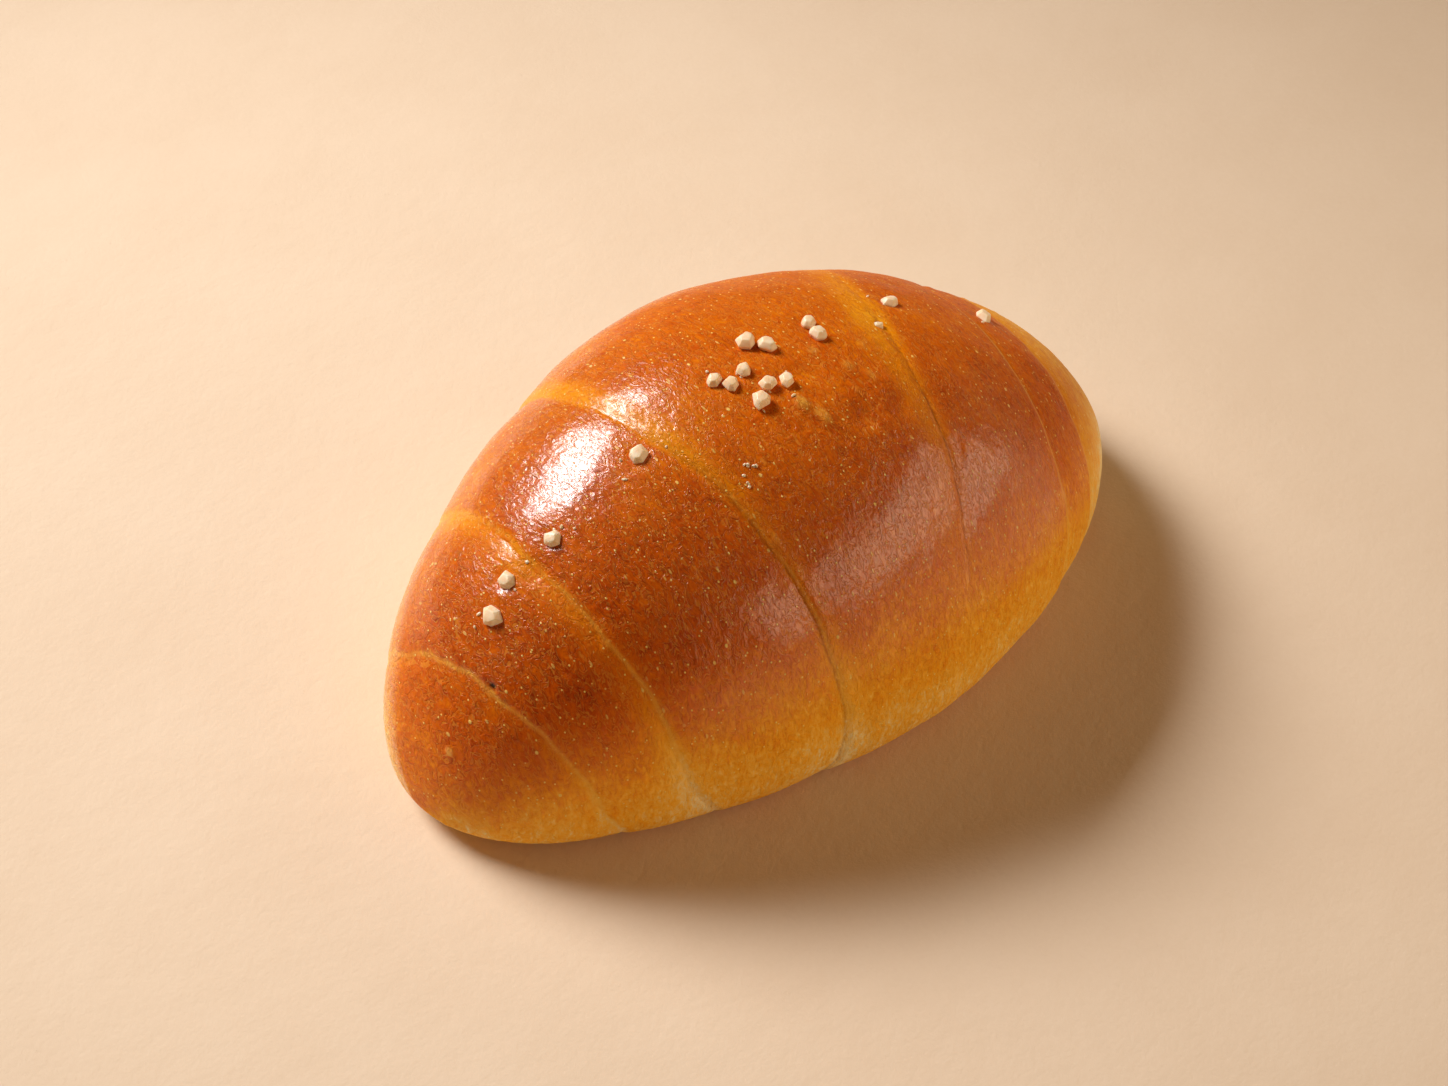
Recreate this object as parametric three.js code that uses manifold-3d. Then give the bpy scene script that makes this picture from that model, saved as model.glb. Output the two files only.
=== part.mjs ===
// A salt bread roll: a tapered strip of dough rolled up from its wide end, proved until the
// wraps swell, egg-washed, sprinkled with coarse salt along its crown and baked on a tray.
// The bread is one solid. Each grain of salt is a crystal of its own, seated in a small pocket.
// Millimetres, +Z up. The origin is the middle of the underside, +X runs along the roll and -Y is
// its front. Angles round the roll start at its back edge, pass the crown at 90 and the front at 180.

import * as THREE from "three";
import { ConvexGeometry } from "three/addons/geometries/ConvexGeometry.js";
import { mergeVertices } from "three/addons/utils/BufferGeometryUtils.js";
import Module from "manifold-3d";

// Overall sizes of the bread, without its salt and before its wraps' edges draw it in.
const ROLL_LENGTH = 125;
const ROLL_WIDTH = 74;
const ROLL_HEIGHT = 52.5;

// How the half width and the height fall off from the middle to the tips: both follow
// (1 - |t|^power)^(1/root), where t runs from -1 to 1 along the roll. skew moves the fullest place.
const PLAN = { power: 1.57, root: 2.22, skew: -0.06 };
const CROWN = { power: 1.79, root: 1.78, skew: 0.1 };

// The cross-section: two half superellipses that meet at the belly, its widest level.
const BELLY_SHARE = 0.25; // height of the belly over the height there
const TOP_POWER = 2.08;
const UNDER_POWER = 3.1;
const UNDER_REACH = 1.37; // depth below the belly before the tray flattens it, over the belly's height
const TIP_LIFT = 4.1; // height of the two tips above the tray
const TRAY_DEPTH = 30;

// The wraps' edges. Each lists how far along the half length it lies at four angles, evenly
// spaced from the back foot over the crown to the front foot. side is the end that it faces.
const EDGE_SPAN = 210;
const WRAP_EDGES = [
  { side: -1, at: [-0.86, -0.885, -0.81, -0.69] },
  { side: -1, at: [-0.58, -0.66, -0.62, -0.5] },
  { side: -1, at: [-0.26, -0.35, -0.25, -0.235] },
  { side: 1, at: [0.46, 0.4, 0.195, 0.08] },
  { side: 1, at: [0.68, 0.66, 0.575, 0.52] },
  { side: 1, at: [0.735, 0.752, 0.73, 0.64] },
];
const WRAP_SWELL = 0.3; // how far the middle of a wrap stands out
const CREASE_DEPTH = 0.5; // the narrow line where one wrap tucks under the next
const CREASE_WIDTH = 1;
const DIP_DEPTH = 0.4; // the broad valley between two swollen wraps
const DIP_WIDTH = 6;
const WRAP_STEP = 0.4; // how much lower the tucked wrap starts
const STEP_FADE = 7;
const TIP_FADE_POWER = 12; // how late the relief dies away towards the tips

// The mesh: columns between neighbouring edges, and rows round the roll.
const BAND_COLUMNS = 8;
const ROWS_ABOVE = 38;
const ROWS_UNDER = 14;

// Coarse salt. A grain is a flat, uneven crystal: an uneven ring of corners at each level.
const GRAIN_SIZE = 3.1; // length of a full-sized grain
const GRAIN_WIDTH_SHARE = 0.84;
const GRAIN_HEIGHT_SHARE = 0.54;
const GRAIN_SINK = 0.45; // how deep a grain sits in the crust
const GRAIN_CLEARANCE = 0.3; // between a grain and its pocket, and between two grains
const CRYSTAL_SIDES = 6;
const CRYSTAL_RINGS = [
  { level: -1, share: 0.72 }, // height over the half height, and reach over the half length
  { level: -0.1, share: 1 },
  { level: 1, share: 0.6 },
];
const CRYSTAL_WOBBLE = 0.13; // unevenness of a crystal's corners, over their mean
const SIDE_GROWTH = 1.6; // how far a corner moves out for its two faces to move out by one

// Where the salt fell. along is a share of the half length and across is millimetres from the
// crown towards the front. Each grain is [along, across, size, turn]: its offsets from there in
// grain pitches, its size over a full-sized grain, and its turn in degrees.
const SPRINKLES = [
  {
    along: -0.08,
    across: 4.1,
    grains: [
      [-1.36, -1, 0.8, 20],
      [-0.92, -0.33, 0.82, 75],
      [0.05, -0.65, 0.78, 35],
      [0.42, 0.6, 0.84, 10],
      [1.27, 0.84, 0.76, 60],
      [-0.45, 1.15, 0.92, 50],
    ],
  },
  {
    along: 0,
    across: -1.1,
    grains: [
      [-0.27, -0.3, 0.96, 5],
      [0.4, 0.4, 0.86, 120],
    ],
  },
  {
    along: 0.15,
    across: 0,
    grains: [
      [0.08, -0.4, 0.8, 30],
      [-0.12, 0.5, 0.9, 100],
    ],
  },
  { along: 0.325, across: 2.1, grains: [[0, 0, 0.6, 0]] },
  { along: 0.428, across: -2.5, grains: [[0, 0, 0.88, 15]] },
  { along: 0.696, across: 0.8, grains: [[0, 0, 1, 40]] },
  { along: -0.375, across: 2.7, grains: [[0, 0, 0.9, 25]] },
  { along: -0.602, across: 2.4, grains: [[0, 0, 0.88, 95]] },
  { along: -0.711, across: 0.7, grains: [[0, 0, 0.88, 170]] },
  { along: -0.768, across: 2.2, grains: [[0, 0, 1, 100]] },
];

const CRUST = { color: 0xb5560d, roughness: 0.35, metalness: 0 };
const SALT = { color: 0xf1dcb8, roughness: 0.3, metalness: 0 };

const HALF_LENGTH = ROLL_LENGTH / 2;
const GRAIN_PITCH = 0.97 * GRAIN_SIZE; // what the places of a sprinkle are given in
const CROWN_ANGLE = 90;
const PROBE = { t: 0.002, angle: 0.5, tipMargin: 0.005 }; // steps that tangents are taken over
const radians = THREE.MathUtils.degToRad;

const wasm = await Module();
wasm.setup();

// Manifold solids and three.js geometries, each made from the other.
function toSolid(geometry) {
  const bare = geometry.clone();
  bare.deleteAttribute("normal");
  bare.deleteAttribute("uv");
  const merged = mergeVertices(bare);
  const vertProperties = new Float32Array(merged.attributes.position.array);
  const triVerts = new Uint32Array(merged.index.array);
  return new wasm.Manifold(new wasm.Mesh({ numProp: 3, vertProperties, triVerts }));
}

function toGeometry(solid) {
  const { vertProperties, triVerts } = solid.getMesh();
  const geometry = new THREE.BufferGeometry();
  geometry.setAttribute("position", new THREE.BufferAttribute(vertProperties, 3));
  geometry.setIndex(new THREE.BufferAttribute(triVerts, 1));
  geometry.computeVertexNormals();
  return geometry;
}

// The share of the fullest size that is left at t.
function taper(t, { power, root, skew }) {
  const place = Math.abs(t + skew * (1 - t * t));
  return Math.pow(Math.max(0, 1 - Math.pow(place, power)), 1 / root);
}

// A point of the roll before its wraps swell.
function smoothPoint(t, angle) {
  const halfWidth = (ROLL_WIDTH / 2) * taper(t, PLAN);
  const height = ROLL_HEIGHT * taper(t, CROWN);
  const belly = BELLY_SHARE * height + TIP_LIFT * Math.pow(Math.abs(t), 3);
  const c = Math.cos(radians(angle));
  const s = Math.sin(radians(angle));
  const power = s >= 0 ? TOP_POWER : UNDER_POWER;
  const reach = Math.pow(Math.pow(Math.abs(c), power) + Math.pow(Math.abs(s), power), -1 / power);
  const rise = s >= 0 ? (1 - BELLY_SHARE) * height : BELLY_SHARE * height * UNDER_REACH;
  return new THREE.Vector3(HALF_LENGTH * t, halfWidth * c * reach, belly + rise * s * reach);
}

// The outward normal of the smooth roll, from its two tangents.
function normalAt(t, angle) {
  const at = THREE.MathUtils.clamp(t, PROBE.tipMargin - 1, 1 - PROBE.tipMargin);
  const along = smoothPoint(at + PROBE.t, angle).sub(smoothPoint(at - PROBE.t, angle));
  const round = smoothPoint(at, angle + PROBE.angle).sub(smoothPoint(at, angle - PROBE.angle));
  return round.cross(along).normalize();
}

// Where an edge lies along the roll at an angle: a cubic through its four places above the
// feet, and a plain easing back to its start under the roll.
function edgePlace({ at }, angle) {
  const turned = THREE.MathUtils.euclideanModulo(angle, 360);
  if (turned > EDGE_SPAN) {
    const share = THREE.MathUtils.smoothstep(turned, EDGE_SPAN, 360);
    return THREE.MathUtils.lerp(at[3], at[0], share);
  }
  const s = (3 * turned) / EDGE_SPAN;
  return at.reduce((sum, place, i) => {
    const weight = at.reduce((w, _, j) => (i === j ? w : (w * (s - j)) / (i - j)), 1);
    return sum + place * weight;
  }, 0);
}

// How far the wraps move the surface at a point: out at their middles and in at their edges.
function reliefAt(t, angle) {
  return WRAP_EDGES.reduce((relief, edge) => {
    const past = (t - edgePlace(edge, angle)) * HALF_LENGTH * edge.side;
    const away = Math.abs(past);
    const crease = CREASE_DEPTH * Math.exp(-Math.pow(past / CREASE_WIDTH, 2));
    const dip = DIP_DEPTH * Math.exp(-Math.pow(past / DIP_WIDTH, 2));
    const step = past > 0 ? WRAP_STEP * Math.exp(-away / STEP_FADE) : 0;
    return relief - crease - dip - step;
  }, WRAP_SWELL);
}

function surfacePoint(t, angle) {
  const point = smoothPoint(t, angle);
  const tipFade = 1 - Math.pow(Math.abs(t), TIP_FADE_POWER);
  return point.addScaledVector(normalAt(t, angle), reliefAt(t, angle) * tipFade);
}

// The columns' places along the roll at an angle. They follow the edges, and crowd near them.
function columnPlaces(angle) {
  const stops = [-1, ...WRAP_EDGES.map((edge) => edgePlace(edge, angle)), 1];
  return stops.slice(1).flatMap((end, band) => {
    const start = stops[band];
    return Array.from({ length: BAND_COLUMNS }, (_, i) => {
      const share = (1 - Math.cos((Math.PI * (i + 1)) / BAND_COLUMNS)) / 2;
      return start + (end - start) * share;
    });
  });
}

// The angles of the rows: closer together above the feet than under the roll.
function rowAngles() {
  const above = Array.from({ length: ROWS_ABOVE }, (_, i) => (i * EDGE_SPAN) / ROWS_ABOVE);
  const gap = (360 - EDGE_SPAN) / ROWS_UNDER;
  const under = Array.from({ length: ROWS_UNDER }, (_, i) => EDGE_SPAN + i * gap);
  return [...above, ...under];
}

// The swollen roll as a closed skin: a net of rows and columns with one point at each tip.
function rollSkin() {
  const angles = rowAngles();
  const points = [];
  for (const angle of angles) {
    for (const t of columnPlaces(angle).slice(0, -1)) points.push(surfacePoint(t, angle));
  }
  const columns = points.length / angles.length;
  const left = points.push(smoothPoint(-1, 0)) - 1;
  const right = points.push(smoothPoint(1, 0)) - 1;
  const faces = [];
  for (let row = 0; row < angles.length; row++) {
    const here = row * columns;
    const next = ((row + 1) % angles.length) * columns;
    faces.push(left, next, here);
    for (let i = 0; i < columns - 1; i++) {
      faces.push(here + i, next + i + 1, here + i + 1);
      faces.push(here + i, next + i, next + i + 1);
    }
    faces.push(right, here + columns - 1, next + columns - 1);
  }
  const geometry = new THREE.BufferGeometry().setFromPoints(points);
  geometry.setIndex(faces);
  return geometry;
}

// The tray, which flattens everything below z = 0.
function tray() {
  const slab = new THREE.BoxGeometry(2 * ROLL_LENGTH, 2 * ROLL_WIDTH, TRAY_DEPTH);
  return slab.translate(0, 0, -TRAY_DEPTH / 2);
}

// A repeatable stream of numbers from -1 to 1.
function unevenness(seed) {
  let state = seed * 7919 + 13;
  return () => {
    state = (state * 16807) % 2147483647;
    return (2 * state) / 2147483647 - 1;
  };
}

// A crystal around its own middle, with grow added all round.
function crystal(size, seed, grow = 0) {
  const uneven = unevenness(seed);
  const halfLength = (size * GRAIN_SIZE) / 2;
  const halfHeight = halfLength * GRAIN_HEIGHT_SHARE;
  const corners = [];
  for (let i = 0; i < CRYSTAL_SIDES; i++) {
    const turn = (2 * Math.PI * (i + 2 * CRYSTAL_WOBBLE * uneven())) / CRYSTAL_SIDES;
    const girth = 1 + CRYSTAL_WOBBLE * uneven();
    for (const { level, share } of CRYSTAL_RINGS) {
      const reach = halfLength * share * girth + SIDE_GROWTH * grow;
      const rise = level * (halfHeight * (1 + CRYSTAL_WOBBLE * (uneven() - 1)) + grow);
      const aside = GRAIN_WIDTH_SHARE * Math.sin(turn);
      corners.push(new THREE.Vector3(Math.cos(turn) * reach, aside * reach, rise));
    }
  }
  return new ConvexGeometry(corners);
}

// Every grain's place on the crust, worked out from the sprinkles.
function grainPlaces() {
  const places = SPRINKLES.flatMap(({ along, across, grains }) =>
    grains.map(([forth, over, size, turn]) => {
      const t = along + (forth * GRAIN_PITCH) / HALF_LENGTH;
      const crown = smoothPoint(t, CROWN_ANGLE);
      const perDegree = smoothPoint(t, CROWN_ANGLE + PROBE.angle).distanceTo(crown) / PROBE.angle;
      const aside = across + over * GRAIN_PITCH;
      return { t, angle: CROWN_ANGLE + aside / perDegree, size, turn };
    }),
  );
  return places.map((place, i) => ({ ...place, seed: i + 1 }));
}

// Sets a grain on the crust: its height along the normal, its length along the roll, then turned.
function seat(mesh, { t, angle, size, turn }) {
  const normal = normalAt(t, angle);
  const halfHeight = (size * GRAIN_SIZE * GRAIN_HEIGHT_SHARE) / 2;
  mesh.position.copy(surfacePoint(t, angle)).addScaledVector(normal, halfHeight - GRAIN_SINK);
  const upright = new THREE.Quaternion().setFromUnitVectors(new THREE.Vector3(0, 0, 1), normal);
  const spin = new THREE.Quaternion().setFromAxisAngle(new THREE.Vector3(0, 0, 1), radians(turn));
  mesh.quaternion.copy(upright).multiply(spin);
  mesh.updateMatrix();
  return mesh;
}

function saltGrain(place) {
  const mesh = new THREE.Mesh(crystal(place.size, place.seed), new THREE.MeshStandardMaterial(SALT));
  mesh.name = `salt_grain_${String(place.seed).padStart(2, "0")}`;
  return seat(mesh, place);
}

// The space that a grain keeps clear in the crust, as a solid where the grain sits.
function pocket(place) {
  const mesh = seat(new THREE.Mesh(crystal(place.size, place.seed, GRAIN_CLEARANCE)), place);
  return toSolid(mesh.geometry.applyMatrix4(mesh.matrix));
}

function breadRoll(places) {
  const flat = toSolid(rollSkin()).subtract(toSolid(tray()));
  const seated = places.reduce((bread, place) => bread.subtract(pocket(place)), flat);
  const mesh = new THREE.Mesh(toGeometry(seated), new THREE.MeshStandardMaterial(CRUST));
  mesh.name = "bread_roll";
  return mesh;
}

const places = grainPlaces();
const roll = new THREE.Group();
roll.name = "salt_bread_roll";
roll.add(breadRoll(places), ...places.map(saltGrain));

export default roll;
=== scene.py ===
"""The looks of a salt bread roll: a glossy rolled crust with coarse salt, on a pale table.

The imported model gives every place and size. The crust is a fine closed skin built on the same
rule as the solid that it stands for, roughened by a Geometry Nodes tree. Each grain of salt is
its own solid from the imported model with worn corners. Lengths are in millimetres until a mesh
is made.
"""

from __future__ import annotations

import logging
import math
from dataclasses import dataclass
from enum import Enum
from typing import Any, Sequence, Union

import bpy
import bmesh
import numpy as np
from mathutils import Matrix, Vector

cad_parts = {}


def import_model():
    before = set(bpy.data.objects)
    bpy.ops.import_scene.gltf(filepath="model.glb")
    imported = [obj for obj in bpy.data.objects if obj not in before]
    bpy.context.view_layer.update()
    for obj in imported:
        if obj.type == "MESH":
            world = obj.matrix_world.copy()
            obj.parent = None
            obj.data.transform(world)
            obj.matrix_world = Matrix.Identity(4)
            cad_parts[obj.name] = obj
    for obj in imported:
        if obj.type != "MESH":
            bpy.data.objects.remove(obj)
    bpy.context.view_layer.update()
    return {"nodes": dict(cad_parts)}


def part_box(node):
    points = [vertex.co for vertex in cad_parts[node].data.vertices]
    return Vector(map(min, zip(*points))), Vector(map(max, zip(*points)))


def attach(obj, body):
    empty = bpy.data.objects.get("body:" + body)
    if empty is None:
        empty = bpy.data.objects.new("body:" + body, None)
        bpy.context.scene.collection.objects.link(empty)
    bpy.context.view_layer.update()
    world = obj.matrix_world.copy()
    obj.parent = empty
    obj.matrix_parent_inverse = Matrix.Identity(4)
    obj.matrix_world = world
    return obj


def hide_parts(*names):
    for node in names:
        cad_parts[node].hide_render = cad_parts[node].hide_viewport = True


LOG = logging.getLogger("salt_bread_roll")
MM = 0.001
FULL_TURN = 360.0
LOOK_ANGLES = (45.0, 90.0, 135.0, 180.0)
TANGENT_PLACE = 0.002
TANGENT_ANGLE = 0.5
LAST_TANGENT = 0.995

Colour = tuple[float, float, float]
Triple = tuple[float, float, float]
Looks = tuple[float, float, float, float]
Span = tuple[float, float]
Operand = Union["Wire", float, int]


class BodyName(str, Enum):
    """The bodies that pieces ride on."""

    ROOT = "root"


class Slot(str, Enum):
    """The record's material slots."""

    CRUST = "crust"
    SALT = "salt"


class Trait(str, Enum):
    """The values that the crust's mesh carries to its nodes, one number a point."""

    BAKE = "bake"
    BAND = "band"
    # The painted highlight along each wrap's edge.
    LIP_HIGHLIGHT = "lip"
    # The painted shade in the crease under each wrap's edge.
    SEAM = "seam"
    WASH = "wash"
    BASE = "base"
    DUST = "dust"
    PALE = "pale"
    CHAR = "char"


# ---------------------------------------------------------------------------------------------
# Nodes
# ---------------------------------------------------------------------------------------------


class Wire:
    """A node's output socket, on which plain arithmetic adds Math nodes."""

    def __init__(self, graph: "Graph", socket: bpy.types.NodeSocket) -> None:
        """Keeps the socket and the graph that it belongs to."""
        self.graph = graph
        self.socket = socket

    def _math(self, operation: str, *values: Operand, clamp: bool = False) -> "Wire":
        """Adds one Math node over the given values."""
        settings = {"operation": operation, "use_clamp": clamp}
        return self.graph.node("ShaderNodeMath", settings, *values)

    def __add__(self, other: Operand) -> "Wire":
        """The sum."""
        return self._math("ADD", self, other)

    def __radd__(self, other: Operand) -> "Wire":
        """The sum, with the number first."""
        return self._math("ADD", other, self)

    def __sub__(self, other: Operand) -> "Wire":
        """The difference."""
        return self._math("SUBTRACT", self, other)

    def __rsub__(self, other: Operand) -> "Wire":
        """The difference, with the number first."""
        return self._math("SUBTRACT", other, self)

    def __mul__(self, other: Operand) -> "Wire":
        """The product."""
        return self._math("MULTIPLY", self, other)

    def __rmul__(self, other: Operand) -> "Wire":
        """The product, with the number first."""
        return self._math("MULTIPLY", other, self)

    def __truediv__(self, other: Operand) -> "Wire":
        """The quotient."""
        return self._math("DIVIDE", self, other)

    def __rtruediv__(self, other: Operand) -> "Wire":
        """The quotient, with the number first."""
        return self._math("DIVIDE", other, self)

    def clamped(self) -> "Wire":
        """The value held between 0 and 1."""
        return self._math("ADD", self, 0.0, clamp=True)

    def ramp(self, start: float, end: float) -> "Wire":
        """A smooth step from 0 at start to 1 at end.

        Args:
            start: The value below which the step is 0.
            end: The value past which it is 1. It may be less than start.

        Returns:
            The step.
        """
        if end < start:
            return 1.0 - self.ramp(end, start)
        settings = {"interpolation_type": "SMOOTHSTEP"}
        return self.graph.node("ShaderNodeMapRange", settings, self, start, end, 0.0, 1.0)


class Graph:
    """A node tree that one method adds nodes to."""

    def __init__(self, tree: bpy.types.NodeTree) -> None:
        """Keeps the tree."""
        self.tree = tree

    def make(
        self,
        kind: str,
        settings: dict[str, Any] | None = None,
        *values: Any,
        **named: Any,
    ) -> bpy.types.Node:
        """Adds a node, makes its settings, then feeds its inputs.

        Args:
            kind: The node's type.
            settings: Properties that are set before any input. The key stops gives a ramp's stops.
            values: Inputs in order. None leaves an input as it is.
            named: Inputs by name, with an underscore for a space.

        Returns:
            The node.
        """
        node = self.tree.nodes.new(kind)
        for key, value in (settings or {}).items():
            if key == "stops":
                self._set_stops(node.color_ramp, value)
            else:
                setattr(node, key, value)
        sockets = [s for s in node.inputs if s.enabled]
        for socket, value in zip(sockets, values):
            self.feed(socket, value)
        self.feed_named(sockets, named)
        return node

    def node(
        self,
        kind: str,
        settings: dict[str, Any] | None = None,
        *values: Any,
        out: str | None = None,
        **named: Any,
    ) -> Wire:
        """Adds a node and gives one of its outputs.

        Args:
            kind: The node's type.
            settings: As in make.
            values: As in make.
            out: The output's name, or None for the first one in use.
            named: As in make.

        Returns:
            The output.
        """
        outputs = [s for s in self.make(kind, settings, *values, **named).outputs if s.enabled]
        found = outputs[0] if out is None else next(s for s in outputs if s.name == out)
        return Wire(self, found)

    def feed_named(self, sockets: Sequence[bpy.types.NodeSocket], named: dict[str, Any]) -> None:
        """Feeds inputs by name.

        Args:
            sockets: The inputs to choose from.
            named: What each one gets, with an underscore for a space in its name.
        """
        for name, value in named.items():
            wanted = name.replace("_", " ")
            self.feed(next(s for s in sockets if s.name == wanted), value)

    def feed(self, socket: bpy.types.NodeSocket, value: Any) -> None:
        """Links a wire to a socket, or sets the socket's own value.

        Args:
            socket: The input.
            value: A wire, a plain value, or None to leave the input as it is.
        """
        if isinstance(value, Wire):
            self.tree.links.new(value.socket, socket)
        elif value is not None:
            if isinstance(value, tuple) and socket.type == "RGBA" and len(value) == 3:
                value = (*value, 1.0)
            socket.default_value = value

    @staticmethod
    def _set_stops(ramp: bpy.types.ColorRamp, stops: Sequence[tuple[float, Colour]]) -> None:
        """Gives a colour ramp its stops.

        Args:
            ramp: The ramp.
            stops: The place and colour of each stop, in order.
        """
        while len(ramp.elements) > 1:
            ramp.elements.remove(ramp.elements[-1])
        ramp.elements[0].position = stops[0][0]
        ramp.elements[0].color = (*stops[0][1], 1.0)
        for position, colour in stops[1:]:
            ramp.elements.new(position).color = (*colour, 1.0)

    def noise(
        self,
        vector: Wire,
        scale: float,
        detail: float = 2.0,
        roughness: float = 0.5,
        curl: float = 0.0,
    ) -> Wire:
        """Fractal noise between 0 and 1 over a vector, curled by an amount."""
        return self.node(
            "ShaderNodeTexNoise", None,
            Vector=vector, Scale=scale, Detail=detail, Roughness=roughness, Distortion=curl,
        )  # fmt: skip

    def cells(self, vector: Wire, scale: Operand, out: str = "Distance", **settings: Any) -> Wire:
        """A Voronoi pattern over a vector."""
        return self.node("ShaderNodeTexVoronoi", settings, Vector=vector, Scale=scale, out=out)

    def stretched(self, vector: Wire, scale: Triple) -> Wire:
        """The vector times a scale on each axis."""
        return self.node("ShaderNodeVectorMath", {"operation": "MULTIPLY"}, vector, scale)

    def shifted(self, vector: Wire, other: Triple) -> Wire:
        """The vector plus another."""
        return self.node("ShaderNodeVectorMath", {"operation": "ADD"}, vector, other)

    def mixed(self, share: Operand, first: Wire | Colour, second: Wire | Colour) -> Wire:
        """Two colours blended by a share."""
        return self.node("ShaderNodeMix", {"data_type": "RGBA"}, share, first, second)


class Finish:
    """A material being built, with its shader and the coordinates of the piece in millimetres."""

    def __init__(self, name: str) -> None:
        """Starts the material with one Principled shader."""
        self.material = bpy.data.materials.new(name)
        self.material.use_nodes = True
        self.graph = Graph(self.material.node_tree)
        self.shader = self.material.node_tree.nodes["Principled BSDF"]
        place = self.graph.node("ShaderNodeTexCoord", None, out="Object")
        self.place = self.graph.stretched(place, (1 / MM, 1 / MM, 1 / MM))

    def trait(self, trait: Trait) -> Wire:
        """One of the values that the mesh carries."""
        settings = {"attribute_name": trait.value}
        return self.graph.node("ShaderNodeAttribute", settings, out="Fac")

    def feed(self, **inputs: Any) -> None:
        """Links or sets the shader's inputs by name."""
        self.graph.feed_named(self.shader.inputs, inputs)

    def bump(self, height: Wire, strength: float) -> Wire:
        """Roughens the shading.

        Args:
            height: The relief, in millimetres.
            strength: How much of it is felt.

        Returns:
            The roughened normal, for another shader over the same skin.
        """
        normal = self.graph.node(
            "ShaderNodeBump", None, Strength=strength, Distance=MM, Height=height
        )
        self.feed(Normal=normal)
        return normal

    def glaze(self, share: Wire, **inputs: Any) -> None:
        """Lays a second Principled shader over the first.

        Args:
            share: How much of the second one shows.
            inputs: Its inputs by name.
        """
        first = Wire(self.graph, self.shader.outputs["BSDF"])
        second = self.graph.node("ShaderNodeBsdfPrincipled", None, **inputs)
        both = self.graph.node("ShaderNodeMixShader", None, share, first, second)
        surface = self.material.node_tree.nodes["Material Output"].inputs["Surface"]
        self.graph.feed(surface, both)


@dataclass(frozen=True)
class Pattern:
    """Fractal noise over a piece.

    Attributes:
        scale: Features a millimetre.
        detail: How many finer octaves there are.
        roughness: How strong each octave is beside the one before.
        stretch: The scale on each axis, less than 1 where the pattern is drawn out.
        shift: Where the pattern starts.
        curl: How far it is curled.
        swing: How much it changes the tone of the crust.
        relief: How high it stands in the bump, in millimetres.
    """

    scale: float
    detail: float
    roughness: float = 0.5
    stretch: Triple = (1.0, 1.0, 1.0)
    shift: Triple = (0.0, 0.0, 0.0)
    curl: float = 0.0
    swing: float = 0.0
    relief: float = 0.0

    def over(self, graph: Graph, place: Wire) -> Wire:
        """Lays the pattern.

        Args:
            graph: The tree that it is made in.
            place: The piece's own coordinates, in millimetres.

        Returns:
            The pattern, from 0 to 1.
        """
        drawn = graph.shifted(graph.stretched(place, self.stretch), self.shift)
        return graph.noise(drawn, self.scale, self.detail, self.roughness, self.curl)


@dataclass(frozen=True)
class Bubbles:
    """Tiny bubbles in the skin of the crust.

    Attributes:
        stretch: How far they are drawn out round the roll, less than 1 for longer ones.
        scale: Cells a millimetre, of which some hold a bubble.
        radius: A bubble's radius, in millimetres.
        rarity: The share of the cells that stay empty.
        weight: How bright they are.
        edge: How far past the rarity a bubble is at its brightest.
    """

    stretch: float
    scale: float
    radius: float
    rarity: float
    weight: float
    edge: float = 0.1

    def over(self, graph: Graph, place: Wire) -> Wire:
        """Lays the bubbles.

        Args:
            graph: The tree that they are made in.
            place: The piece's own coordinates, in millimetres.

        Returns:
            The bubbles' weight on them and 0 off them.
        """
        drawn = graph.stretched(place, (1.0, self.stretch, self.stretch))
        drawn = graph.shifted(drawn, (9.0 * self.scale, 4.0, 1.0))
        reach = self.radius * self.scale
        near = graph.cells(drawn, self.scale).ramp(reach, 0.5 * reach)
        chance = graph.cells(drawn, self.scale, out="Color")
        return near * chance.ramp(self.rarity, self.rarity + self.edge) * self.weight


# ---------------------------------------------------------------------------------------------
# Finishes
# ---------------------------------------------------------------------------------------------


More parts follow.
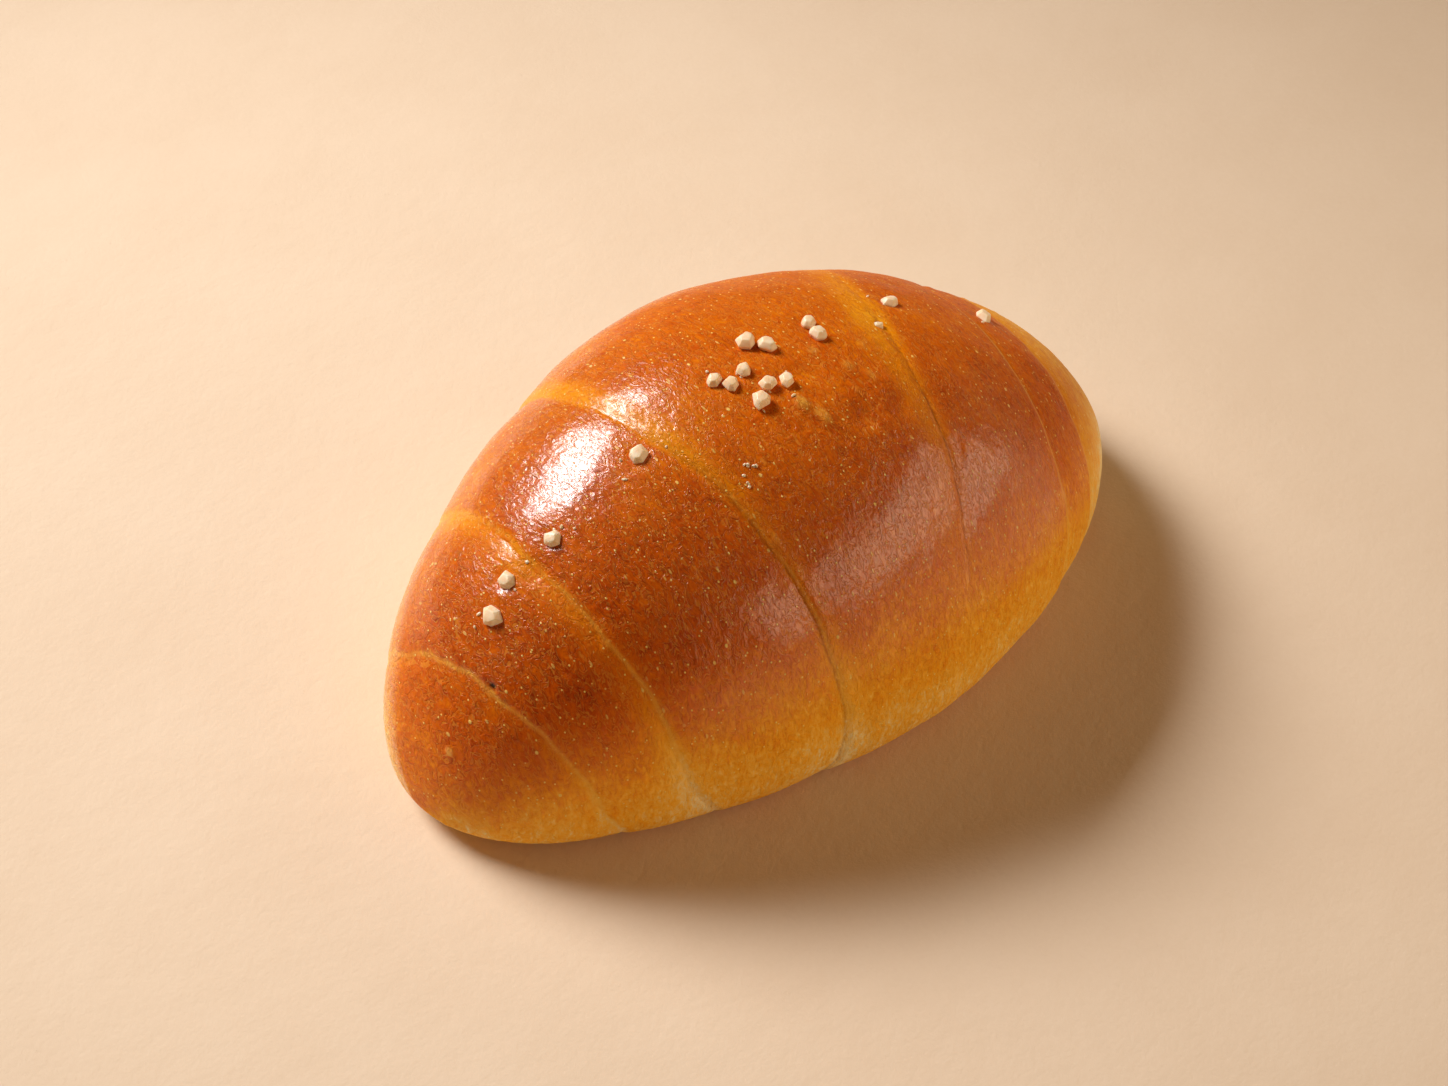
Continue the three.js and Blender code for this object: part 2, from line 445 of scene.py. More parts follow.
@dataclass(frozen=True)
class CrustFinish:
    """Egg-washed crust, from pale dough at the seams and feet to deep brown on the wraps.

    Attributes:
        tones: The colour at each share of baking.
        bubble: The colour of the thin skin over a bubble, and of the painted highlight at each
            wrap's edge.
        pale_speck_and_glint: The colour of the tiniest bubbles, their pale skin lit up as a painted
            glint.
        crease_shade: The colour of the painted shade in the crease under a wrap's edge.
        soot: The colour of a burnt spot.
        streaks: Streaks drawn out round the roll, where the dough was stretched.
        fine: Finer streaks between them.
        curls: Curled wrinkles.
        mottle: Blotches of a few millimetres.
        patches: Broad patches of the oven's heat.
        grain: The finest speckle.
        leather: The unevenness of the skin, in the bump only.
        bubbles: The kinds of tiny bubbles.
        band_wear: How far mottle, streaks and curls fray the golden bands.
        band_paling: How much lighter the golden bands are.
        lip_highlight_share: How strong the painted highlight on an edge is all along, and how much
            more on a streak.
        squiggle_width: Where a squiggle starts and is full, as squared distance from mid noise.
        squiggle_relief: How deep the squiggles are in the bump.
        worm_span: The curls that are pale on their crests.
        worm_streaks: The streaks that such crests keep to.
        worm_share: How pale the crests are beside the squiggles, and how pale both are.
        blister_share: How pale the large bubbles' skin is.
        speck_share: How much the tiniest bubbles take the painted-glint colour.
        speck_relief: How high they stand in the bump.
        crease_shade_streaks: The streaks along which the painted shade in a crease shows.
        pore_stretch: How the pores are drawn out.
        pore_scale: Pores a millimetre.
        pore_relief: How deep they are.
        dry_roughness: The roughness of crust without egg wash.
        dry_shine: Its specular level.
        wash_roughness: The roughness of crust with egg wash, and how far mottle changes it.
        wash_index: The refractive index there.
        coat: The thickness of the wash, and how much of it the squiggles lack.
        coat_roughness: The roughness of the wash itself.
        dough: How light passes through the crust: its share, its depth and the three colours'.
    """

    tones: tuple[tuple[float, Colour], ...] = (
        (0.0, (0.96, 0.73, 0.36)),
        (0.08, (0.96, 0.58, 0.16)),
        (0.17, (0.96, 0.49, 0.06)),
        (0.30, (0.92, 0.37, 0.012)),
        (0.45, (0.82, 0.25, 0.002)),
        (0.60, (0.70, 0.145, 0.001)),
        (0.75, (0.59, 0.09, 0.0)),
        (0.88, (0.44, 0.05, 0.0)),
        (1.0, (0.27, 0.02, 0.0)),
    )
    bubble: Colour = (0.95, 0.52, 0.07)
    pale_speck_and_glint: Colour = (1.0, 0.70, 0.18)
    crease_shade: Colour = (0.34, 0.07, 0.0)
    soot: Colour = (0.05, 0.012, 0.003)
    streaks: Pattern = Pattern(1.9, 3.0, 0.62, stretch=(1.0, 0.26, 0.26), swing=0.48, relief=0.05)
    fine: Pattern = Pattern(
        3.1, 2.0, 0.6, stretch=(1.0, 0.26, 0.26), shift=(5.0, 2.0, 8.0), swing=0.18
    )
    curls: Pattern = Pattern(
        1.15, 1.0, stretch=(1.0, 0.5, 0.5), curl=1.6, swing=0.34, relief=0.13
    )
    mottle: Pattern = Pattern(0.55, 3.0, 0.6, swing=0.24)
    patches: Pattern = Pattern(0.11, 2.0, shift=(31.0, 7.0, 5.0), swing=0.26)
    grain: Pattern = Pattern(2.9, 2.0, 0.6, swing=0.18)
    leather: Pattern = Pattern(0.75, 2.0, relief=0.13)
    bubbles: tuple[Bubbles, ...] = (
        Bubbles(stretch=0.8, scale=1.15, radius=0.16, rarity=0.42, weight=1.0),
        Bubbles(stretch=0.35, scale=0.7, radius=0.18, rarity=0.4, weight=0.6),
        Bubbles(stretch=0.7, scale=0.45, radius=0.26, rarity=0.6, weight=0.9),
    )
    band_wear: Triple = (1.6, 1.2, 1.2)
    band_paling: float = 0.25
    lip_highlight_share: Span = (0.2, 0.7)
    squiggle_width: Span = (0.0036, 0.0006)
    squiggle_relief: float = 0.06
    worm_span: Span = (0.60, 0.68)
    worm_streaks: Span = (0.38, 0.58)
    worm_share: Span = (0.6, 0.24)
    blister_share: float = 0.5
    speck_share: float = 0.95
    speck_relief: float = 0.06
    crease_shade_streaks: Span = (0.3, 0.55)
    pore_stretch: Triple = (1.0, 0.7, 0.7)
    pore_scale: float = 1.2
    pore_relief: float = 0.08
    dry_roughness: float = 0.55
    dry_shine: float = 0.06
    wash_roughness: Span = (0.22, 0.08)
    wash_index: float = 1.5
    coat: Span = (0.75, 0.7)
    coat_roughness: float = 0.16
    dough: tuple[float, float, Triple] = (0.06, 1.2, (1.0, 0.40, 0.12))

    def build(self) -> bpy.types.Material:
        """Builds the crust's material.

        Returns:
            The material.
        """
        finish = Finish("glazed_crust")
        g, place = finish.graph, finish.place
        streaks, fine = self.streaks.over(g, place), self.fine.over(g, place)
        curls, mottle = self.curls.over(g, place), self.mottle.over(g, place)
        patches, grain = self.patches.over(g, place), self.grain.over(g, place)
        specks: Wire | float = 0.0
        for kind in self.bubbles:
            specks = kind.over(g, place) + specks
        specks = specks.clamped()
        bend = curls - 0.5
        squiggle = (bend * bend).ramp(*self.squiggle_width)

        ragged = 1.0
        for wire, wear in zip((mottle, streaks, curls), self.band_wear):
            ragged = ragged + (wire - 0.5) * wear
        band = (finish.trait(Trait.BAND) * ragged).clamped()
        tone = finish.trait(Trait.BAKE) - band * self.band_paling
        for wire, pattern in (
            (mottle, self.mottle), (patches, self.patches), (streaks, self.streaks),
            (curls, self.curls), (grain, self.grain), (fine, self.fine),
        ):  # fmt: skip
            tone = tone + (wire - 0.5) * pattern.swing
        colour = g.node("ShaderNodeValToRGB", {"stops": self.tones}, tone.clamped())
        colour = self._marked(finish, colour, streaks, curls, squiggle, specks)

        pores = g.cells(g.stretched(place, self.pore_stretch), self.pore_scale, feature="SMOOTH_F1")
        leather = self.leather.over(g, place)
        skin = curls * self.curls.relief + streaks * self.streaks.relief
        skin = skin + specks * self.speck_relief - squiggle * self.squiggle_relief
        skin = skin + pores * self.pore_relief + leather * self.leather.relief
        normal = finish.bump(skin, 1.0)
        share, depth, radius = self.dough
        dough = {
            "Base_Color": colour,
            "Subsurface_Weight": share,
            "Subsurface_Scale": depth * MM,
            "Subsurface_Radius": radius,
        }
        finish.feed(Roughness=self.dry_roughness, Specular_IOR_Level=self.dry_shine, **dough)
        finish.glaze(
            finish.trait(Trait.WASH),
            Roughness=self.wash_roughness[0] + (mottle - 0.5) * self.wash_roughness[1],
            IOR=self.wash_index,
            Coat_Weight=self.coat[0] - squiggle * self.coat[1],
            Coat_Roughness=self.coat_roughness,
            Normal=normal,
            **dough,
        )
        return finish.material

    def _marked(
        self, finish: Finish, colour: Wire, streaks: Wire, curls: Wire, squiggle: Wire, specks: Wire
    ) -> Wire:
        """Lays the marks of baking over the crust's tone, with painted highlights, glints and
        shade.

        Args:
            finish: The material being built.
            colour: The crust's tone.
            streaks: The streaks.
            curls: The curls.
            squiggle: The fine squiggles between them.
            specks: The tiniest bubbles.

        Returns:
            The colour with its marks.
        """
        g = finish.graph
        # A painted highlight: a pale line along each wrap's edge, in the pale blister colour.
        lip = finish.trait(Trait.LIP_HIGHLIGHT) * (self.lip_highlight_share[0] + streaks * self.lip_highlight_share[1])
        worms = curls.ramp(*self.worm_span) * self.worm_share[0] + squiggle
        worms = worms * streaks.ramp(*self.worm_streaks) * self.worm_share[1]
        pale = finish.trait(Trait.PALE) * self.blister_share + lip + worms
        colour = g.mixed(pale.clamped(), colour, self.bubble)
        # Painted glints: the tiniest bubbles, already pale, are lightened to a bright gold.
        colour = g.mixed(specks * self.speck_share, colour, self.pale_speck_and_glint)
        # Painted shade: a dark line in the crease under a wrap's edge.
        crease_shade = finish.trait(Trait.SEAM) * streaks.ramp(*self.crease_shade_streaks)
        colour = g.mixed(crease_shade.clamped(), colour, self.crease_shade)
        return g.mixed(finish.trait(Trait.CHAR), colour, self.soot)


@dataclass(frozen=True)
class SaltFinish:
    """Cloudy, cream-coloured salt.

    Attributes:
        clear: The colour where a crystal is clear.
        cloudy: The colour where it is cloudy.
        cloud: Where it is cloudy.
        cloud_span: The cloud's thinnest and thickest noise.
        uneven: The waviness of a face.
        pit_scale: Pits a millimetre.
        pit_relief: How deep they are.
        bump: How much of the relief is felt.
        roughness: The roughness where it is clear, and how much more it is where cloudy.
        depth: How far light passes into a crystal, in millimetres.
        inside: The share of light that does.
        radius: How far each of the three colours passes beside that.
        index: The refractive index of salt.
    """

    clear: Colour = (1.0, 0.66, 0.40)
    cloudy: Colour = (1.0, 0.76, 0.54)
    cloud: Pattern = Pattern(0.9, 3.0, 0.6)
    cloud_span: Span = (0.35, 0.65)
    uneven: Pattern = Pattern(1.8, 3.0, relief=0.04)
    pit_scale: float = 3.2
    pit_relief: float = 0.02
    bump: float = 0.6
    roughness: Span = (0.28, 0.22)
    depth: float = 0.7
    inside: float = 0.7
    radius: Triple = (1.0, 0.9, 0.75)
    index: float = 1.54

    def build(self) -> bpy.types.Material:
        """Builds the salt's material.

        Returns:
            The material.
        """
        finish = Finish("cloudy_salt")
        g, place = finish.graph, finish.place
        cloud = self.cloud.over(g, place)
        pits = g.cells(place, self.pit_scale, feature="SMOOTH_F1")
        faces = self.uneven.over(g, place) * self.uneven.relief
        finish.bump(faces + pits * self.pit_relief, self.bump)
        finish.feed(
            Base_Color=g.mixed(cloud.ramp(*self.cloud_span), self.clear, self.cloudy),
            Roughness=self.roughness[0] + cloud * self.roughness[1],
            Subsurface_Weight=self.inside,
            Subsurface_Scale=self.depth * MM,
            Subsurface_Radius=self.radius,
            IOR=self.index,
        )
        return finish.material


@dataclass(frozen=True)
class TableFinish:
    """Pale, peach-coloured paper.

    Attributes:
        light: The lighter of its two colours.
        shade: The darker one.
        clouds: The broad clouds in its colour.
        tooth: The tooth of the paper.
        waves: Its slight waviness.
        cloud_share: The share of the clouds in the colour, beside the tooth.
        span: The noise at which the colour is all light, and all shade.
        bump: How much of the relief is felt.
        roughness: Its roughness.
        shine: Its specular level.
    """

    light: Colour = (0.81, 0.64, 0.475)
    shade: Colour = (0.78, 0.605, 0.44)
    clouds: Pattern = Pattern(0.03, 4.0, 0.6)
    tooth: Pattern = Pattern(1.1, 4.0, 0.7, relief=0.12)
    waves: Pattern = Pattern(0.25, 3.0, relief=0.2)
    cloud_share: float = 0.7
    span: Span = (0.3, 0.7)
    bump: float = 0.6
    roughness: float = 0.85
    shine: float = 0.2

    def build(self) -> bpy.types.Material:
        """Builds the table's material.

        Returns:
            The material.
        """
        finish = Finish("peach_paper")
        g, place = finish.graph, finish.place
        tooth = self.tooth.over(g, place)
        blend = self.clouds.over(g, place) * self.cloud_share + tooth * (1 - self.cloud_share)
        colour = g.mixed(blend.ramp(*self.span), self.light, self.shade)
        waves = self.waves.over(g, place) * self.waves.relief
        finish.bump(tooth * self.tooth.relief + waves, self.bump)
        finish.feed(
            Base_Color=colour, Roughness=self.roughness, Specular_IOR_Level=self.shine
        )
        return finish.material


# ---------------------------------------------------------------------------------------------
# Geometry Nodes
# ---------------------------------------------------------------------------------------------


class Recipe:
    """A Geometry Nodes tree with named sizes, run once on a piece and made final."""

    def __init__(self, name: str, sizes: dict[str, float]) -> None:
        """Starts the tree.

        Args:
            name: The tree's name.
            sizes: Its inputs and the values that they are given.
        """
        self.sizes = sizes
        self.tree = bpy.data.node_groups.new(name, "GeometryNodeTree")
        self.graph = Graph(self.tree)
        faces = self.tree.interface
        faces.new_socket("Geometry", in_out="INPUT", socket_type="NodeSocketGeometry")
        faces.new_socket("Geometry", in_out="OUTPUT", socket_type="NodeSocketGeometry")
        self.keys = {
            size: faces.new_socket(size, in_out="INPUT", socket_type="NodeSocketFloat").identifier
            for size in sizes
        }
        self.source = self.tree.nodes.new("NodeGroupInput")
        self.place = self.graph.node(
            "ShaderNodeVectorMath", {"operation": "SCALE"},
            self.graph.node("GeometryNodeInputPosition"), Scale=1 / MM,
        )  # fmt: skip
        self.normal = self.graph.node("GeometryNodeInputNormal")

    @property
    def geometry(self) -> Wire:
        """The geometry that comes in."""
        return Wire(self.graph, self.source.outputs["Geometry"])

    def size(self, name: str) -> Wire:
        """One of the named sizes."""
        return Wire(self.graph, self.source.outputs[name])

    def trait(self, trait: Trait) -> Wire:
        """One of the values that the mesh carries."""
        settings = {"data_type": "FLOAT"}
        return self.graph.node("GeometryNodeInputNamedAttribute", settings, trait.value)

    def close(self, geometry: Wire, material: bpy.types.Material) -> None:
        """Ends the tree in real geometry with one material.

        Args:
            geometry: What the tree made.
            material: Its material.
        """
        real = self.graph.node("GeometryNodeRealizeInstances", None, geometry)
        dressed = self.graph.node("GeometryNodeSetMaterial", None, real, Material=material)
        sink = self.tree.nodes.new("NodeGroupOutput")
        self.tree.links.new(dressed.socket, sink.inputs["Geometry"])

    def raised(self, geometry: Wire, height: Wire) -> Wire:
        """Moves the surface along its normal.

        Args:
            geometry: The geometry to move.
            height: How far, in millimetres.

        Returns:
            The moved geometry.
        """
        offset = self.graph.node(
            "ShaderNodeVectorMath", {"operation": "SCALE"}, self.normal, Scale=height * MM
        )
        return self.graph.node("GeometryNodeSetPosition", None, geometry, Offset=offset)

    def apply(self, piece: bpy.types.Object) -> None:
        """Runs the tree on a piece and keeps the result as its plain mesh.

        Args:
            piece: The piece. The modifier is gone from it afterwards.
        """
        modifier = piece.modifiers.new(self.tree.name, "NODES")
        modifier.node_group = self.tree
        for size, key in self.keys.items():
            modifier[key] = self.sizes[size]
        bpy.context.view_layer.update()
        graph = bpy.context.evaluated_depsgraph_get()
        done = bpy.data.meshes.new_from_object(
            piece.evaluated_get(graph), preserve_all_data_layers=True, depsgraph=graph
        )
        piece.modifiers.clear()
        piece.data = done


# ---------------------------------------------------------------------------------------------
# The bread
# ---------------------------------------------------------------------------------------------


def smooth_step(value: np.ndarray, start: float, end: float) -> np.ndarray:
    """0 before start, 1 past end and a smooth step between.

    Args:
        value: Where to take the step.
        start: Its foot. It may be more than end, for a step down.
        end: Its head.

    Returns:
        The step at each value.
    """
    share = np.clip((value - start) / (end - start), 0.0, 1.0)
    return share * share * (3.0 - 2.0 * share)


def within(value: np.ndarray, start: Span, end: Span) -> np.ndarray:
    """1 between two smooth steps and 0 outside them."""
    return smooth_step(value, *start) * smooth_step(value, *end)


def bell(distance: np.ndarray, width: float) -> np.ndarray:
    """A bump of height 1 that falls to 1/e at the width."""
    return np.exp(-np.square(distance / width))


@dataclass(frozen=True)
class Profile:
    """How a half width or a height falls off from the middle of the roll to its tips."""

    power: float
    root: float
    skew: float

    def share(self, t: np.ndarray) -> np.ndarray:
        """The share of the fullest size that is left at t, which runs from -1 to 1."""
        place = np.abs(t + self.skew * (1.0 - t * t))
        return np.maximum(0.0, 1.0 - place**self.power) ** (1.0 / self.root)


@dataclass(frozen=True)
class WrapEdge:
    """The edge of a wrap of dough.

    The last four looks are given behind, on the crown, low on the front and at the foot.

    Attributes:
        side: The end of the roll that it faces, -1 or 1.
        at: How far along the half length it lies at four angles, evenly spaced over the span.
        columns: Columns of the net between this edge and the one before it.
        step: How much lower the tucked wrap starts.
        dip: Depth of the valley between the two wraps.
        outer: Width of the golden band on the wrap that lies above.
        inner: Width of the golden band on the wrap that is tucked under.
        open: How much of the step and the valley there is.
        glow: How golden the band is.
        lip: How strong the painted highlight along the very edge is.
        seam: How dark the painted shade in the crease under the edge is.
        span: How far round the roll its four places reach, in degrees.
        wavers: Size, number round the roll and phase of each of its slight waves.
    """

    side: int
    at: Looks
    columns: int
    step: float
    dip: float
    outer: float
    inner: float
    open: Looks
    glow: Looks
    lip: Looks
    seam: Looks
    span: float = 210.0
    wavers: tuple[Triple, ...] = ((0.0035, 5, 1), (0.002, 11, 3), (0.0009, 29, 2))

    @staticmethod
    def around(looks: Looks, angle: np.ndarray) -> np.ndarray:
        """One of the looks at each angle round the roll."""
        return np.interp(angle, LOOK_ANGLES, looks, period=FULL_TURN)

    def place(self, angle: np.ndarray) -> np.ndarray:
        """Where the edge lies along the roll, with a slight natural waver.

        Args:
            angle: Angles round the roll, in degrees.

        Returns:
            The edge's place along the half length at each angle.
        """
        turned = np.mod(angle, FULL_TURN)
        last = len(self.at) - 1
        s = last * np.minimum(turned, self.span) / self.span
        above = np.zeros_like(turned)
        for i, here in enumerate(self.at):
            weight = np.ones_like(turned)
            for j in range(len(self.at)):
                if j != i:
                    weight = weight * (s - j) / (i - j)
            above = above + here * weight
        back = smooth_step(turned, self.span, FULL_TURN)
        behind = self.at[last] + (self.at[0] - self.at[last]) * back
        path = np.where(turned > self.span, behind, above)
        phase = 7.0 * self.at[1]
        for size, number, share in self.wavers:
            path = path + size * np.sin(number * np.radians(turned) + share * phase)
        return path


@dataclass(frozen=True)
class Blemish:
    """A bubble under the skin, or a hollow where height is negative.

    Attributes:
        t: Place along the half length.
        angle: Place round the roll, in degrees.
        length: Its size along the roll.
        breadth: Its size round the roll.
        height: How far it stands out.
        pale: How much paler its skin is.
        char: How burnt it is.
        pale_span: How near its middle the skin starts to pale, and is palest.
        char_span: How near its middle the burn starts, and is darkest.
    """

    t: float
    angle: float
    length: float
    breadth: float
    height: float
    pale: float = 0.0
    char: float = 0.0
    pale_span: Span = (0.35, 0.8)
    char_span: Span = (0.3, 0.6)

    def near(self, points: np.ndarray, here: np.ndarray) -> np.ndarray:
        """How near points lie to the blemish.

        Args:
            points: The skin's points.
            here: The blemish's middle.

        Returns:
            1 in its middle, falling to 0 outside it.
        """
        apart = points - here
        across = np.linalg.norm(apart[..., 1:], axis=-1)
        return np.exp(-np.square(apart[..., 0] / self.length) - np.square(across / self.breadth))


@dataclass(frozen=True)
class Wave:
    """A slow wave in space, as the product of two sines.

    Attributes:
        height: How far it moves the surface.
        first: The first sine's radians a millimetre on each axis, and its phase.
        second: The second sine's.
    """

    height: float
    first: Looks
    second: Looks

    def at(self, points: np.ndarray) -> np.ndarray:
        """The movement at each point.

        Args:
            points: The points, in millimetres.

        Returns:
            The movement, in millimetres.
        """
        x, y, z = (points[..., i] for i in range(3))
        move = np.full_like(x, self.height)
        for along_x, along_y, along_z, phase in (self.first, self.second):
            move = move * np.sin(along_x * x + along_y * y + along_z * z + phase)
        return move


@dataclass(frozen=True)
class Oven:
    """How the oven browned the roll. The left is where the roll's places are negative.

    Attributes:
        by_height: The baking at each share of the height.
        level_share: How far that height is the roll's own, and not that of its slice.
        back: The angles over which the back begins.
        back_paling: How much paler it is.
        front: The angles over which the front begins and ends.
        shoulder: The places over which the dark left shoulder begins and ends.
        shoulder_height: The heights over which it begins.
        shoulder_browning: How much darker it is.
        right: The places over which the right tip begins to pale.
        right_tones: The tones that pale there.
        right_paling: How much paler it is.
        far_right: The places over which the last of it pales.
        far_right_paling: How much paler that is.
        far_left: The places over which the left tip pales.
        far_left_paling: How much paler it is.
        under: The heights over which the underside begins, in millimetres.
        under_tone: How brown it is.
    """

    by_height: tuple[Span, ...] = (
        (0.0, 0.20), (0.10, 0.15), (0.25, 0.23), (0.42, 0.38),
        (0.59, 0.58), (0.73, 0.72), (0.90, 0.73), (1.0, 0.68),
    )  # fmt: skip
    level_share: float = 0.25
    back: Span = (165.0, 125.0)
    back_paling: float = 0.15
    front: tuple[Span, Span] = ((60.0, 100.0), (300.0, 250.0))
    shoulder: tuple[Span, Span] = ((-0.3, -0.6), (-0.98, -0.85))
    shoulder_height: Span = (0.35, 0.7)
    shoulder_browning: float = 0.07
    right: Span = (0.68, 0.84)
    right_tones: Span = (0.1, 0.4)
    right_paling: float = 0.34
    far_right: Span = (0.74, 0.90)
    far_right_paling: float = 0.12
    far_left: Span = (-0.9, -0.99)
    far_left_paling: float = 0.10
    under: Span = (1.5, 0.2)
    under_tone: float = 0.56

    def tone(
        self, t: np.ndarray, angle: np.ndarray, z: np.ndarray, full: np.ndarray, height: float
    ) -> np.ndarray:
        """How well baked the crust is.

        Args:
            t: Places along the half length.
            angle: Angles round the roll, in degrees.
            z: Heights over the tray.
            full: The height of the roll's slice at each place.
            height: The height of the roll.

        Returns:
            0 for pale dough to 1 for the darkest brown.
        """
        share = self.level_share
        rise = (1 - share) * z / np.maximum(1.0, full) + share * (z / height)
        tone = np.interp(rise, *zip(*self.by_height))
        turned = np.mod(angle, FULL_TURN)
        back = smooth_step(np.mod(turned + 90.0, FULL_TURN), *self.back)
        shoulder = within(t, *self.shoulder) * within(turned, *self.front)
        shoulder = shoulder * smooth_step(rise, *self.shoulder_height)
        tone = tone - self.back_paling * back + self.shoulder_browning * shoulder
        right = smooth_step(t, *self.right) * smooth_step(tone, *self.right_tones)
        tone = tone - self.right_paling * right
        tone = tone - self.far_right_paling * smooth_step(t, *self.far_right)
        tone = tone - self.far_left_paling * smooth_step(t, *self.far_left)
        under = smooth_step(z, *self.under)
        return tone * (1 - under) + self.under_tone * under


@dataclass(frozen=True)
class EggWash:
    """How thickly the egg wash lies: it pools on the crown, and along the front below it.

    Attributes:
        brushed: The angles over which the brush went.
        crown_along: The places over which the pool on the crown begins and ends.
        crown_around: Its angles.
        front_along: The places over which the pool on the front begins and ends.
        front_around: Its angles.
        back: The angles over which the pool behind the crown begins.
        front_share: How thick the front's pool is beside the crown's.
        back_share: How thick the back's is.
        thinnest: How thick the wash is between the pools.
        band_loss: The share that the golden bands lack.
        blister_share: How thick it is on a large bubble.
    """

    brushed: tuple[Span, Span] = ((-32.0, 8.0), (205.0, 165.0))
    crown_along: tuple[Span, Span] = ((-0.92, -0.78), (-0.08, -0.35))
    crown_around: tuple[Span, Span] = ((40.0, 60.0), (125.0, 108.0))
    front_along: tuple[Span, Span] = ((-0.62, -0.42), (0.62, 0.40))
    front_around: tuple[Span, Span] = ((105.0, 122.0), (174.0, 150.0))
    back: Span = (58.0, 42.0)
    front_share: float = 0.78
    back_share: float = 0.85
    thinnest: float = 0.14
    band_loss: float = 0.4
    blister_share: float = 0.9

    def thickness(
        self, t: np.ndarray, angle: np.ndarray, band: np.ndarray, pale: np.ndarray
    ) -> np.ndarray:
        """How thickly the wash lies.

        Args:
            t: Places along the half length.
            angle: Angles round the roll, in degrees.
            band: How golden the wraps' edges are.
            pale: How pale the large bubbles are.

        Returns:
            0 for dry crust to 1 for the glossiest.
        """
        turned = np.mod(angle + 90.0, FULL_TURN) - 90.0
        crown = within(t, *self.crown_along) * within(turned, *self.crown_around)
        front = within(t, *self.front_along) * within(turned, *self.front_around)
        back = smooth_step(turned, *self.back)
        pooled = np.maximum(crown, self.front_share * front)
        pooled = np.maximum(pooled, self.back_share * back)
        wash = within(turned, *self.brushed) * (self.thinnest + (1 - self.thinnest) * pooled)
        return np.maximum(wash * (1 - self.band_loss * band), self.blister_share * pale)


@dataclass(frozen=True)
class SkinRelief:
    """The small relief of the skin: wrinkles round the roll, leathery cells and bubbles.

    Attributes:
        wrinkle_height: The height of the wrinkles, in millimetres.
        wrinkle_scale: Wrinkles a millimetre.
        wrinkle_stretch: How they are drawn out.
        wrinkle_roughness: How strong their finer octaves are.
        leather_height: The height of the leathery cells, which keep to the egg wash.
        leather_level: The cell distance that is left at no height.
        cell_size: A cell's size, in millimetres.
        bubble_height: How far a bubble stands out.
        bubble_scale: Bubbles a millimetre, if none were left out.
        bubble_stretch: How they are drawn out.
        bubble_edge: The cell distance at which a bubble starts, and is full.
        bubble_rarity: The share of bubbles that are left out.
        tray_smoothing: How much of the relief the tray takes away.
        tray_gap: How far the pressed underside stays off the tray.
    """

    wrinkle_height: float = 0.10
    wrinkle_scale: float = 0.75
    wrinkle_stretch: Triple = (1.0, 0.28, 0.28)
    wrinkle_roughness: float = 0.55
    leather_height: float = 0.07
    leather_level: float = 0.4
    cell_size: float = 1.5
    bubble_height: float = 0.16
    bubble_scale: float = 0.27
    bubble_stretch: Triple = (1.0, 0.7, 0.7)
    bubble_edge: Span = (0.22, 0.05)
    bubble_rarity: Span = (0.55, 0.65)
    tray_smoothing: float = 0.5
    tray_gap: float = 0.09

    def recipe(self, material: bpy.types.Material) -> Recipe:
        """Builds the tree that roughens the skin.

        Args:
            material: The crust's material.

        Returns:
            The tree.
        """
        recipe = Recipe(
            "crust_relief",
            {
                "Wrinkle Height": self.wrinkle_height,
                "Leather Height": self.leather_height,
                "Bubble Height": self.bubble_height,
                "Cell Size": self.cell_size,
            },
        )
        g, place = recipe.graph, recipe.place
        base = recipe.trait(Trait.BASE)
        fibre = g.stretched(place, self.wrinkle_stretch)
        wrinkles = g.noise(fibre, self.wrinkle_scale, 2.0, self.wrinkle_roughness) - 0.5
        wrinkles = wrinkles * recipe.size("Wrinkle Height")
        leather = g.cells(place, 1.0 / recipe.size("Cell Size"), feature="SMOOTH_F1")
        leather = (leather - self.leather_level) * recipe.size("Leather Height")
        leather = leather * recipe.trait(Trait.WASH)
        drawn = g.stretched(place, self.bubble_stretch)
        chance = g.cells(drawn, self.bubble_scale, out="Color").ramp(*self.bubble_rarity)
        bubbles = g.cells(drawn, self.bubble_scale).ramp(*self.bubble_edge) * chance
        bubbles = bubbles * recipe.size("Bubble Height")
        height = (wrinkles + leather + bubbles) * (1.0 - base * self.tray_smoothing)
        height = height - base * self.tray_gap
        recipe.close(recipe.raised(recipe.geometry, height), material)
        return recipe


